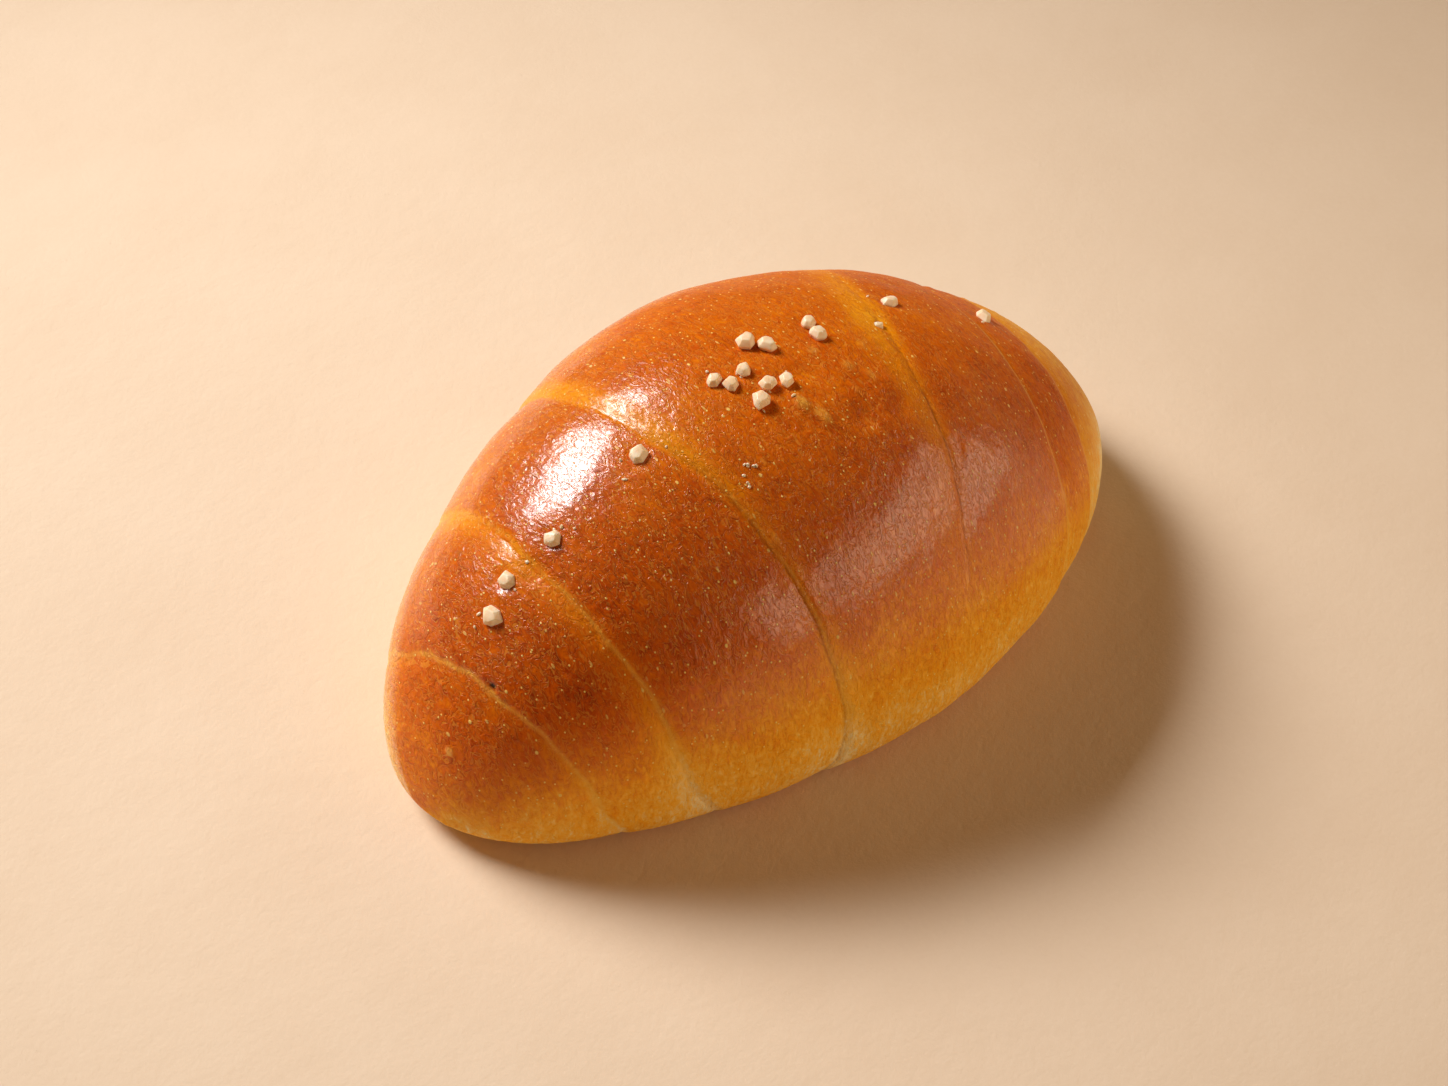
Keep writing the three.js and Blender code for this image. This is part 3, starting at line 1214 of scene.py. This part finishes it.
@dataclass
class BreadRoll:
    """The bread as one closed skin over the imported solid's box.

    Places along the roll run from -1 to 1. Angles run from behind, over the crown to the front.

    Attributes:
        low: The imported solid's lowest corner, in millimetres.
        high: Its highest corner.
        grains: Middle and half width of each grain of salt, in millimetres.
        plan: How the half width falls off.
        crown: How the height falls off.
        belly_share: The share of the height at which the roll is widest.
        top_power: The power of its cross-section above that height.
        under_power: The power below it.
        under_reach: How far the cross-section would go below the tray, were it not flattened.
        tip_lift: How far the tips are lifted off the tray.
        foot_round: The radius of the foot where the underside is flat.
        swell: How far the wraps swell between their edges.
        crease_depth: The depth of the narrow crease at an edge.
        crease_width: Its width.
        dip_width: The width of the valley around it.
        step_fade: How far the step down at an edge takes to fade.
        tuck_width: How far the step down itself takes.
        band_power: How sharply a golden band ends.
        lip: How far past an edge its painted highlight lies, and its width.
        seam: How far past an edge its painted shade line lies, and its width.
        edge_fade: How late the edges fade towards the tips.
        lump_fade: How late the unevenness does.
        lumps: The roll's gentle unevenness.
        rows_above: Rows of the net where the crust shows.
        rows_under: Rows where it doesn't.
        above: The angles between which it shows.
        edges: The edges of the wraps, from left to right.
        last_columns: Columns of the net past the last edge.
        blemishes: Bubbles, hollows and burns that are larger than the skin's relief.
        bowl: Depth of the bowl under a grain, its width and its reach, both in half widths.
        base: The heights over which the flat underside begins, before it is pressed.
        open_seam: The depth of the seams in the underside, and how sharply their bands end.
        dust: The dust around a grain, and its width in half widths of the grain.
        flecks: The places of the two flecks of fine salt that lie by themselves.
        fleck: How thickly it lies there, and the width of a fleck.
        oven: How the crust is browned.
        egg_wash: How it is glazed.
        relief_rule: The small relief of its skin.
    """

    low: np.ndarray
    high: np.ndarray
    grains: list[tuple[np.ndarray, float]]
    plan: Profile = Profile(power=1.57, root=2.22, skew=-0.06)
    crown: Profile = Profile(power=1.79, root=1.78, skew=0.10)
    belly_share: float = 0.25
    top_power: float = 2.08
    under_power: float = 3.1
    under_reach: float = 1.37
    tip_lift: float = 4.1
    foot_round: float = 0.7
    swell: float = 0.3
    crease_depth: float = 0.22
    crease_width: float = 0.5
    dip_width: float = 4.5
    step_fade: float = 6.5
    tuck_width: float = 0.5
    band_power: float = 2.4
    lip: Span = (-0.15, 0.24)
    seam: Span = (0.25, 0.28)
    edge_fade: int = 12
    lump_fade: int = 8
    lumps: tuple[Wave, ...] = (
        Wave(0.16, (0.13, 0.0, 0.0, 0.9), (0.0, 0.11, 0.07, 0.4)),
        Wave(0.10, (0.31, 0.17, 0.0, 1.3), (0.0, 0.23, -0.29, 0.6)),
        Wave(0.04, (0.71, 0.0, -0.33, 0.0), (0.11, 0.57, 0.49, 0.0)),
    )
    rows_above: int = 178
    rows_under: int = 60
    above: tuple[float, float] = (-18.0, 208.0)
    edges: tuple[WrapEdge, ...] = (
        WrapEdge(
            -1, (-0.86, -0.885, -0.81, -0.69), 74, 0.22, 0.20, 0.4, 1.2,
            (1, 1, 1, 1), (0.5, 0.5, 0.5, 0.6), (0.6, 1.0, 0.8, 0.5), (0, 0, 0, 0),
        ),
        WrapEdge(
            -1, (-0.58, -0.66, -0.62, -0.5), 40, 0.25, 0.28, 0.8, 2.6,
            (1, 1, 1, 1), (0.8, 1.1, 0.7, 0.6), (0.2, 0.2, 0.9, 0.6), (0, 0, 0, 0),
        ),
        WrapEdge(
            -1, (-0.26, -0.35, -0.25, -0.235), 46, 0.30, 0.36, 2.8, 0.9,
            (1, 1, 1, 1), (1.1, 1.1, 0.6, 0.6), (0.1, 0.0, 0.5, 0.7), (0, 0.2, 0.7, 0.3),
        ),
        WrapEdge(
            1, (0.46, 0.4, 0.195, 0.08), 92, 0.28, 0.32, 4.6, 2.0,
            (0.3, 0.8, 1.0, 0.1), (0.3, 1.5, 0.6, -0.4), (0, 0, 0.1, 0), (0, 0, 1.0, -0.7),
        ),
        WrapEdge(
            1, (0.68, 0.66, 0.575, 0.52), 46, 0.38, 0.22, 0.5, 0.9,
            (1, 1, 1, 0.6), (0.5, 0.5, 0.4, 0.4), (0.6, 0.9, 0.9, 0.4), (0, 0.3, 0.2, 0),
        ),
        WrapEdge(
            1, (0.735, 0.752, 0.73, 0.64), 22, 0.30, 0.15, 0.5, 2.6,
            (1, 1, 1, 0.8), (0.5, 0.6, 0.6, 0.6), (0.4, 0.6, 0.6, 0.3), (0, 0, 0, 0),
        ),
    )
    last_columns: int = 74
    blemishes: tuple[Blemish, ...] = (
        Blemish(-0.028, 107.0, 0.9, 1.6, 0.75, pale=0.95),
        Blemish(-0.006, 111.5, 0.9, 1.8, 0.60, pale=0.70),
        Blemish(0.085, 115.0, 2.2, 1.8, -0.60),
        Blemish(0.14, 103.0, 1.3, 1.0, 0.22, pale=0.5),
        Blemish(0.10, 96.0, 1.0, 0.9, 0.22, pale=0.7),
        Blemish(0.20, 110.0, 2.8, 2.2, 0.25),
        Blemish(0.02, 100.0, 2.6, 2.2, -0.30),
        Blemish(-0.943, 118.0, 0.8, 0.9, 0.12, pale=0.75),
        Blemish(-0.25, 129.0, 0.5, 1.4, 0.22, pale=0.5),
        Blemish(-0.11, 166.0, 0.9, 1.5, 0.10, pale=0.35),
        Blemish(-0.838, 113.5, 0.35, 0.55, -0.35, char=1.0),
        Blemish(0.05, 101.0, 1.6, 2.4, -0.28),
        Blemish(0.17, 107.0, 0.7, 1.4, 0.22, pale=0.4),
        Blemish(0.11, 109.0, 0.6, 1.1, 0.20, pale=0.3),
        Blemish(0.22, 99.0, 0.8, 1.6, 0.20, pale=0.3),
        Blemish(0.185, 116.0, 1.2, 1.8, -0.25),
        Blemish(0.52, 74.0, 2.8, 2.6, -0.30),
        Blemish(-0.66, 98.0, 2.4, 2.0, -0.35),
    )
    bowl: Triple = (0.34, 1.15, 3.0)
    base: Span = (0.6, -0.8)
    open_seam: Span = (0.55, 3.0)
    dust: Span = (0.22, 2.2)
    flecks: tuple[Span, ...] = ((-0.21, 112.5), (-0.24, 116.0))
    fleck: Span = (9.0, 0.6)
    oven: Oven = Oven()
    egg_wash: EggWash = EggWash()
    relief_rule: SkinRelief = SkinRelief()

    @property
    def half_length(self) -> float:
        """Half of the roll's length."""
        return float(self.high[0] - self.low[0]) / 2

    @property
    def height(self) -> float:
        """The roll's height."""
        return float(self.high[2] - self.low[2])

    def tip_rise(self, t: np.ndarray) -> np.ndarray:
        """How far the roll's middle line is lifted towards the tips."""
        return self.tip_lift * np.abs(t) ** 3

    def smooth_points(self, t: np.ndarray, angle: np.ndarray) -> np.ndarray:
        """Points of the roll before its wraps swell.

        Args:
            t: Places along the half length.
            angle: Angles round the roll, in degrees.

        Returns:
            The points, with the last axis for X, Y and Z.
        """
        half_width = float(self.high[1] - self.low[1]) / 2 * self.plan.share(t)
        height = self.height * self.crown.share(t)
        belly = self.belly_share * height + self.tip_rise(t)
        c, s = np.cos(np.radians(angle)), np.sin(np.radians(angle))
        power = np.where(s >= 0, self.top_power, self.under_power)
        reach = (np.abs(c) ** power + np.abs(s) ** power) ** (-1.0 / power)
        top = (1.0 - self.belly_share) * height
        under = self.belly_share * height * self.under_reach
        rise = np.where(s >= 0, top, under)
        across, upwards = half_width * c * reach, belly + rise * s * reach
        return np.stack([self.half_length * t, across, upwards], -1)

    def normals(self, t: np.ndarray, angle: np.ndarray) -> np.ndarray:
        """Outward normals of the smooth roll, from its two tangents.

        Args:
            t: Places along the half length.
            angle: Angles round the roll, in degrees.

        Returns:
            The normals, with the last axis for X, Y and Z.
        """
        dt, turn, roll = TANGENT_PLACE, TANGENT_ANGLE, self.smooth_points
        inside = np.clip(t, -LAST_TANGENT, LAST_TANGENT)
        along = roll(inside + dt, angle) - roll(inside - dt, angle)
        around = roll(inside, angle + turn) - roll(inside, angle - turn)
        normal = np.cross(around, along)
        return normal / np.linalg.norm(normal, axis=-1, keepdims=True)

    def row_angles(self) -> np.ndarray:
        """The angles of the net's rows, closer together where the crust shows.

        Returns:
            The angles, in degrees.
        """
        first, last = self.above
        upper = np.linspace(first, last, self.rows_above, endpoint=False)
        lower = np.linspace(last, first + FULL_TURN, self.rows_under, endpoint=False)
        return np.concatenate([upper, lower])

    def column_places(self, angles: np.ndarray) -> np.ndarray:
        """Where each row's columns lie along the roll.

        Args:
            angles: The angle of each row.

        Returns:
            One row of places for each angle, without the two tips.
        """
        stops = [np.full_like(angles, -1.0)]
        stops += [edge.place(angles) for edge in self.edges]
        stops += [np.full_like(angles, 1.0)]
        counts = [edge.columns for edge in self.edges] + [self.last_columns]
        rows = []
        for band, count in enumerate(counts):
            start, end = stops[band][:, None], stops[band + 1][:, None]
            u = np.arange(1, count + 1) / count
            crowded = (1.0 - np.cos(np.pi * u)) / 2
            if band == 0:
                share = 1.0 - np.cos(np.pi / 2 * u)
            elif band == len(counts) - 1:
                share = np.sin(np.pi / 2 * u)
            else:
                share = 0.5 * u + 0.5 * crowded
            rows.append(start + (end - start) * share)
        return np.concatenate(rows, axis=1)[:, :-1]

    def relief(
        self, t: np.ndarray, angle: np.ndarray
    ) -> tuple[np.ndarray, dict[Trait, np.ndarray]]:
        """How far the wraps move the surface, and what their edges look like.

        Args:
            t: Places along the half length.
            angle: Angles round the roll.

        Returns:
            The movement along the normal, and the values for the finish.
        """
        move = np.full_like(t, self.swell)
        band, lip, seam = np.zeros_like(t), np.zeros_like(t), np.zeros_like(t)
        turned = np.mod(angle, FULL_TURN)
        for edge in self.edges:
            past = (t - edge.place(angle)) * self.half_length * edge.side
            tucked = smooth_step(past, 0.0, self.tuck_width)
            step = edge.step * tucked * np.exp(-np.abs(past) / self.step_fade)
            valley = edge.dip * bell(past, self.dip_width)
            crease = self.crease_depth * bell(past, self.crease_width)
            move = move - edge.around(edge.open, turned) * (step + valley + crease)
            width = np.where(past < 0, edge.outer, edge.inner)
            near = np.exp(-np.power(np.abs(past) / width, self.band_power))
            band = np.maximum(band, edge.around(edge.glow, turned) * near)
            # A painted highlight along the very edge.
            near = bell(past - self.lip[0], self.lip[1])
            lip = np.maximum(lip, edge.around(edge.lip, turned) * near)
            # Painted shade along the crease under the edge.
            near = bell(past - self.seam[0], self.seam[1])
            seam = np.maximum(seam, edge.around(edge.seam, turned) * near)
        fade = 1.0 - np.abs(t) ** self.edge_fade
        looks = {Trait.BAND: band * fade, Trait.LIP_HIGHLIGHT: lip * fade, Trait.SEAM: seam * fade}
        return move * fade, looks

    def build_net(self) -> tuple[np.ndarray, dict[Trait, np.ndarray]]:
        """Lays out the skin's points.

        Returns:
            The points by row and column, and their values for the finish.
        """
        angles = self.row_angles()
        t = self.column_places(angles)
        angle = np.broadcast_to(angles[:, None], t.shape)
        move, looks = self.relief(t, angle)
        points = self.smooth_points(t, angle)
        normals = self.normals(t, angle)
        uneven = sum(wave.at(points) for wave in self.lumps)
        move = move + uneven * (1.0 - np.abs(t) ** self.lump_fade)
        pale, char = np.zeros_like(t), np.zeros_like(t)
        for spot in self.blemishes:
            near = spot.near(points, self.smooth_points(np.array(spot.t), np.array(spot.angle)))
            move = move + spot.height * near
            pale = np.maximum(pale, spot.pale * smooth_step(near, *spot.pale_span))
            char = np.maximum(char, spot.char * smooth_step(near, *spot.char_span))
        points = self.seat_grains(points + normals * move[..., None], normals)
        points, base = self.flatten(points, looks)
        z, full = points[..., 2], self.height * self.crown.share(t) + self.tip_rise(t)
        looks[Trait.PALE], looks[Trait.CHAR], looks[Trait.BASE] = pale, char, base
        looks[Trait.BAKE] = self.oven.tone(t, angle, z, full, self.height)
        looks[Trait.WASH] = self.egg_wash.thickness(t, angle, looks[Trait.BAND], pale)
        looks[Trait.DUST] = self.dusting(points) * (1 - base)
        return points, looks

    def seat_grains(self, points: np.ndarray, normals: np.ndarray) -> np.ndarray:
        """Presses a shallow bowl under each grain of salt.

        Args:
            points: The skin's points.
            normals: Their outward normals.

        Returns:
            The moved points.
        """
        depth, width, reach = self.bowl
        for middle, half in self.grains:
            apart = np.linalg.norm(points - middle, axis=-1)
            dent = depth * bell(apart, width * half) * (apart < reach * half)
            points = points - normals * dent[..., None]
        return points

    def flatten(
        self, points: np.ndarray, looks: dict[Trait, np.ndarray]
    ) -> tuple[np.ndarray, np.ndarray]:
        """Presses the underside flat on the tray, with its seams left open.

        Args:
            points: The skin's points.
            looks: The values of the wraps' edges.

        Returns:
            The flattened points, and 1 where they lie on the tray.
        """
        z = points[..., 2]
        flat = 0.5 * (z + np.sqrt(z * z + self.foot_round**2))
        base = smooth_step(z, *self.base)
        depth, sharpness = self.open_seam
        open_seam = np.maximum(looks[Trait.BAND] ** int(sharpness), looks[Trait.LIP_HIGHLIGHT])
        flat = flat + depth * base * open_seam
        points = points.copy()
        points[..., 2] = flat - flat.min()
        return points, base

    def dusting(self, points: np.ndarray) -> np.ndarray:
        """Where fine salt lies: close to the coarse grains, and in flecks of its own.

        Args:
            points: The skin's points.

        Returns:
            How thickly it lies at each point.
        """
        thick, width = self.dust
        dust = np.zeros(points.shape[:-1])
        for middle, half in self.grains:
            near = bell(np.linalg.norm(points - middle, axis=-1), width * half)
            dust = np.maximum(dust, thick * near)
        thick, width = self.fleck
        for t, angle in self.flecks:
            here = self.smooth_points(np.array(t), np.array(angle))
            dust = np.maximum(dust, thick * bell(np.linalg.norm(points - here, axis=-1), width))
        return dust

    def fit_to_box(self, points: np.ndarray) -> np.ndarray:
        """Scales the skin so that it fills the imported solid's box.

        Args:
            points: The skin's points.

        Returns:
            The scaled points.
        """
        flat = points.reshape(-1, 3)
        low, high = flat.min(0), flat.max(0)
        scale = (self.high - self.low) / (high - low)
        return (points - low) * scale + self.low

    def build(self, material: bpy.types.Material) -> bpy.types.Object:
        """Builds the bread.

        Args:
            material: The crust's material.

        Returns:
            The bread's object.
        """
        points, looks = self.build_net()
        rows, columns = points.shape[:2]
        tips = self.smooth_points(np.array([-1.0, 1.0]), np.array([0.0, 0.0]))
        cloud = self.fit_to_box(np.concatenate([points.reshape(-1, 3), tips]))
        index = np.arange(rows * columns).reshape(rows, columns)
        after = np.roll(index, -1, axis=0)
        quads = np.stack([index[:, :-1], after[:, :-1], after[:, 1:], index[:, 1:]], -1)
        left, right = rows * columns, rows * columns + 1
        caps = [(left, int(b), int(a)) for a, b in zip(index[:, 0], after[:, 0])]
        caps += [(right, int(a), int(b)) for a, b in zip(index[:, -1], after[:, -1])]
        mesh = bpy.data.meshes.new("bread")
        mesh.from_pydata((cloud * MM).tolist(), [], quads.reshape(-1, 4).tolist() + caps)
        for trait, values in looks.items():
            attribute = mesh.attributes.new(trait.value, "FLOAT", "POINT")
            ends = [values[:, 0].mean(), values[:, -1].mean()]
            numbers = np.concatenate([values.ravel(), ends]).astype(np.float32)
            attribute.data.foreach_set("value", numbers)
        mesh.shade_smooth()
        bread = bpy.data.objects.new("bread", mesh)
        bpy.context.scene.collection.objects.link(bread)
        self.relief_rule.recipe(material).apply(bread)
        return bread


# ---------------------------------------------------------------------------------------------
# The salt
# ---------------------------------------------------------------------------------------------


@dataclass
class SaltGrain:
    """One coarse grain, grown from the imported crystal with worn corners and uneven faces.

    Attributes:
        node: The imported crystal's node.
        source: Its object.
        worn: How far its edges are worn down, in millimetres.
        bevel_steps: How finely.
        bevel_profile: How full the worn edge stays.
        weld: How near the corners of its loose triangles lie, in millimetres.
        flat_angle: The angle up to which two triangles are one face, in degrees.
        plump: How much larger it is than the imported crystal, which its own gap allows.
        unevenness: How uneven its faces are, in millimetres.
        uneven_scale: Lumps a millimetre.
    """

    node: str
    source: bpy.types.Object
    worn: float = 0.15
    bevel_steps: int = 2
    bevel_profile: float = 0.6
    weld: float = 0.01
    flat_angle: float = 8.0
    plump: float = 1.14
    unevenness: float = 0.28
    uneven_scale: float = 0.7

    def build(self, material: bpy.types.Material) -> bpy.types.Object:
        """Builds the grain.

        Args:
            material: The salt's material.

        Returns:
            The grain's object.
        """
        mesh = bpy.data.meshes.new(f"{self.node}_crystal")
        shape = bmesh.new()
        shape.from_mesh(self.source.data)
        bmesh.ops.remove_doubles(shape, verts=shape.verts, dist=self.weld * MM)
        limit = math.radians(self.flat_angle)
        bmesh.ops.dissolve_limit(shape, angle_limit=limit, verts=shape.verts, edges=shape.edges)
        bmesh.ops.bevel(
            shape, geom=list(shape.edges), offset=self.worn * MM, offset_type="OFFSET",
            segments=self.bevel_steps, profile=self.bevel_profile, affect="EDGES",
            clamp_overlap=True,
        )  # fmt: skip
        bmesh.ops.triangulate(shape, faces=shape.faces)
        bmesh.ops.subdivide_edges(shape, edges=shape.edges, cuts=1, use_grid_fill=True)
        bmesh.ops.recalc_face_normals(shape, faces=shape.faces)
        middle = sum((vert.co for vert in shape.verts), Vector()) / len(shape.verts)
        for vert in shape.verts:
            vert.co = middle + (vert.co - middle) * self.plump
        shape.to_mesh(mesh)
        shape.free()
        mesh.shade_smooth()
        grain = bpy.data.objects.new(f"{self.node}_crystal", mesh)
        bpy.context.scene.collection.objects.link(grain)
        self._uneven(material).apply(grain)
        return grain

    def _uneven(self, material: bpy.types.Material) -> Recipe:
        """Builds the tree that makes its faces uneven.

        Args:
            material: The salt's material.

        Returns:
            The tree.
        """
        recipe = Recipe("crystal_unevenness", {"Unevenness": self.unevenness})
        lumps = recipe.graph.noise(recipe.place, self.uneven_scale) - 0.5
        height = lumps * recipe.size("Unevenness")
        recipe.close(recipe.raised(recipe.geometry, height), material)
        return recipe


@dataclass
class SaltDust:
    """The crumbs of salt left on the crust around the coarse grains.

    Attributes:
        per_square_metre: Crumbs a square metre where the dust is 1.
        crumb: A crumb's radius, in millimetres.
        smallest: The least scale of a crumb on each of its axes.
        largest: The greatest one.
        turn: How far it may be turned on each axis, in radians.
        place_seed: The seed of the crumbs' places.
        size_seed: The seed of their scales.
    """

    per_square_metre: float = 420000.0
    crumb: float = 0.34
    smallest: Triple = (0.5, 0.5, 0.4)
    largest: Triple = (1.5, 1.1, 0.8)
    turn: Triple = (6.28, 6.28, 6.28)
    place_seed: int = 7
    size_seed: int = 3

    def build(self, bread: bpy.types.Object, material: bpy.types.Material) -> bpy.types.Object:
        """Scatters the crumbs over the bread.

        Args:
            bread: The bread, whose skin says how thick the dust lies.
            material: The salt's material.

        Returns:
            The dust's object.
        """
        recipe = Recipe("salt_dust", {"Density": self.per_square_metre, "Crumb": self.crumb * MM})
        g = recipe.graph
        density = recipe.trait(Trait.DUST) * recipe.size("Density")
        spread = g.make(
            "GeometryNodeDistributePointsOnFaces", {"distribute_method": "RANDOM"},
            recipe.geometry, Density=density, Seed=self.place_seed,
        )  # fmt: skip
        crumb = g.node("GeometryNodeMeshIcoSphere", None, recipe.size("Crumb"), 1)
        vector = {"data_type": "FLOAT_VECTOR"}
        turn = g.node("FunctionNodeRandomValue", vector, Max=self.turn)
        scale = g.node(
            "FunctionNodeRandomValue", vector,
            Min=self.smallest, Max=self.largest, Seed=self.size_seed,
        )  # fmt: skip
        placed = g.node(
            "GeometryNodeInstanceOnPoints", None,
            Wire(g, spread.outputs["Points"]), Instance=crumb, Rotation=turn, Scale=scale,
        )  # fmt: skip
        recipe.close(placed, material)
        dust = bpy.data.objects.new("salt_dust", bread.data.copy())
        bpy.context.scene.collection.objects.link(dust)
        recipe.apply(dust)
        return dust


# ---------------------------------------------------------------------------------------------
# The studio
# ---------------------------------------------------------------------------------------------


@dataclass(frozen=True)
class Softbox:
    """A soft light that faces the roll.

    Attributes:
        name: The light's name.
        towards: The direction from the roll to the light.
        distance: How far off it stands, in metres.
        size: Its width and height, in metres.
        watts: Its power.
        colour: Its colour.
        spread: How wide its grid lets it shine, in degrees.
        aside: How far from the roll's middle it is aimed, in metres.
    """

    name: str
    towards: Triple
    distance: float
    size: tuple[float, float]
    watts: float
    colour: Colour
    spread: float = 180.0
    aside: Triple = (0.0, 0.0, 0.0)

    def build(self, middle: Vector) -> None:
        """Sets the light up, aimed near the roll's middle.

        Args:
            middle: The roll's middle, in metres.
        """
        light = bpy.data.lights.new(self.name, "AREA")
        light.shape = "RECTANGLE"
        light.size, light.size_y = self.size
        light.energy = self.watts
        light.color = self.colour
        light.spread = math.radians(self.spread)
        lamp = bpy.data.objects.new(self.name, light)
        away = Vector(self.towards).normalized()
        lamp.location = middle + away * self.distance
        back = lamp.location - middle - Vector(self.aside)
        lamp.rotation_euler = back.to_track_quat("Z", "Y").to_euler()
        bpy.context.scene.collection.objects.link(lamp)


@dataclass(frozen=True)
class Studio:
    """A pale table, soft lights and the camera.

    Attributes:
        azimuth: How far the camera stands round from the front, in degrees.
        elevation: How far it looks down, in degrees.
        camera_distance: How far off it stands, in metres.
        aim_offset: How far from the roll's middle it is aimed, in metres.
        lens: Its focal length, in millimetres.
        sensor: Its sensor's width, in millimetres.
        clip_start: The nearest thing it sees, in metres.
        table_half: Half of the table's side, in metres.
        ambient: The colour of the room's even light.
        ambient_strength: Its strength.
        softboxes: The lights.
    """

    azimuth: float = -40.1
    elevation: float = 47.8
    camera_distance: float = 0.3461
    aim_offset: Triple = (-0.00775, -0.00172, -0.0064)
    lens: float = 60.0
    sensor: float = 36.0
    clip_start: float = 0.01
    table_half: float = 1.5
    ambient: Colour = (0.94, 0.53, 0.21)
    ambient_strength: float = 0.13
    softboxes: tuple[Softbox, ...] = (
        Softbox(
            "key", towards=(-0.24, 0.71, 0.66), distance=0.80, size=(0.42, 0.28),
            watts=0.92, colour=(1.0, 0.99, 0.98), spread=50.0, aside=(-0.035, 0.045, -0.027),
        ),
        Softbox(
            "front_fill", towards=(0.55, -0.80, 0.24), distance=0.80, size=(1.20, 0.32),
            watts=3.2, colour=(1.0, 0.82, 0.55),
        ),
    )

    def build(self, low: Vector, high: Vector) -> None:
        """Sets up the table, the light and the camera around a box.

        Args:
            low: The box's lowest corner.
            high: The box's highest corner.
        """
        middle = (low + high) / 2
        self._table(low.z)
        for softbox in self.softboxes:
            softbox.build(middle)
        self._ambience()
        self._camera(middle + Vector(self.aim_offset))
        bpy.context.scene.view_settings.view_transform = "Standard"

    def _table(self, level: float) -> None:
        """Lays the table under the roll."""
        h = self.table_half
        mesh = bpy.data.meshes.new("table")
        corners = [(-h, -h, level), (h, -h, level), (h, h, level), (-h, h, level)]
        mesh.from_pydata(corners, [], [(0, 1, 2, 3)])
        mesh.materials.append(TableFinish().build())
        table = bpy.data.objects.new("table", mesh)
        bpy.context.scene.collection.objects.link(table)

    def _ambience(self) -> None:
        """Gives the room its warm, even light."""
        world = bpy.data.worlds.new("room")
        world.use_nodes = True
        background = world.node_tree.nodes["Background"]
        background.inputs["Color"].default_value = (*self.ambient, 1.0)
        background.inputs["Strength"].default_value = self.ambient_strength
        bpy.context.scene.world = world

    def _camera(self, aim: Vector) -> None:
        """Puts the camera at its angle.

        Args:
            aim: The point that it looks at.
        """
        camera = bpy.data.cameras.new("camera")
        camera.lens = self.lens
        camera.sensor_width = self.sensor
        camera.clip_start = self.clip_start
        eye = bpy.data.objects.new("camera", camera)
        a, e = math.radians(self.azimuth), math.radians(self.elevation)
        back = Vector((math.sin(a) * math.cos(e), -math.cos(a) * math.cos(e), math.sin(e)))
        eye.location = aim + back * self.camera_distance
        eye.rotation_euler = back.to_track_quat("Z", "Y").to_euler()
        bpy.context.scene.collection.objects.link(eye)
        bpy.context.scene.camera = eye


# ---------------------------------------------------------------------------------------------
# Putting it together
# ---------------------------------------------------------------------------------------------


def as_mm(corner: Vector) -> np.ndarray:
    """A point of the frame in millimetres."""
    return np.array(corner) / MM


def settle(piece: bpy.types.Object, slot: Slot, *nodes: str) -> None:
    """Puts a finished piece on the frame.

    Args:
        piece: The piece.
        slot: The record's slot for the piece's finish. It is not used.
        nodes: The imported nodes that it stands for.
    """
    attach(piece, BodyName.ROOT.value)
    if nodes:
        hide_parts(*nodes)
    LOG.info("%s: %d faces", piece.name, len(piece.data.polygons))


def main() -> None:
    """Builds the bread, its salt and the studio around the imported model."""
    logging.basicConfig(level=logging.INFO, format="%(name)s: %(message)s")
    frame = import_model()
    nodes = sorted(frame["nodes"])
    salt_nodes = [node for node in nodes if node.startswith("salt_grain_")]

    spots = []
    for node in salt_nodes:
        low, high = (as_mm(corner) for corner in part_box(node))
        spots.append(((low + high) / 2, float((high - low)[:2].mean()) / 2))
    low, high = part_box("bread_roll")
    roll = BreadRoll(as_mm(low), as_mm(high), spots)
    bread = roll.build(CrustFinish().build())
    settle(bread, Slot.CRUST, "bread_roll")

    salt = SaltFinish().build()
    for node in salt_nodes:
        grain = SaltGrain(node, frame["nodes"][node]).build(salt)
        settle(grain, Slot.SALT, node)
    settle(SaltDust().build(bread, salt), Slot.SALT)

    Studio().build(low, high)


if __name__ == "__main__":
    main()
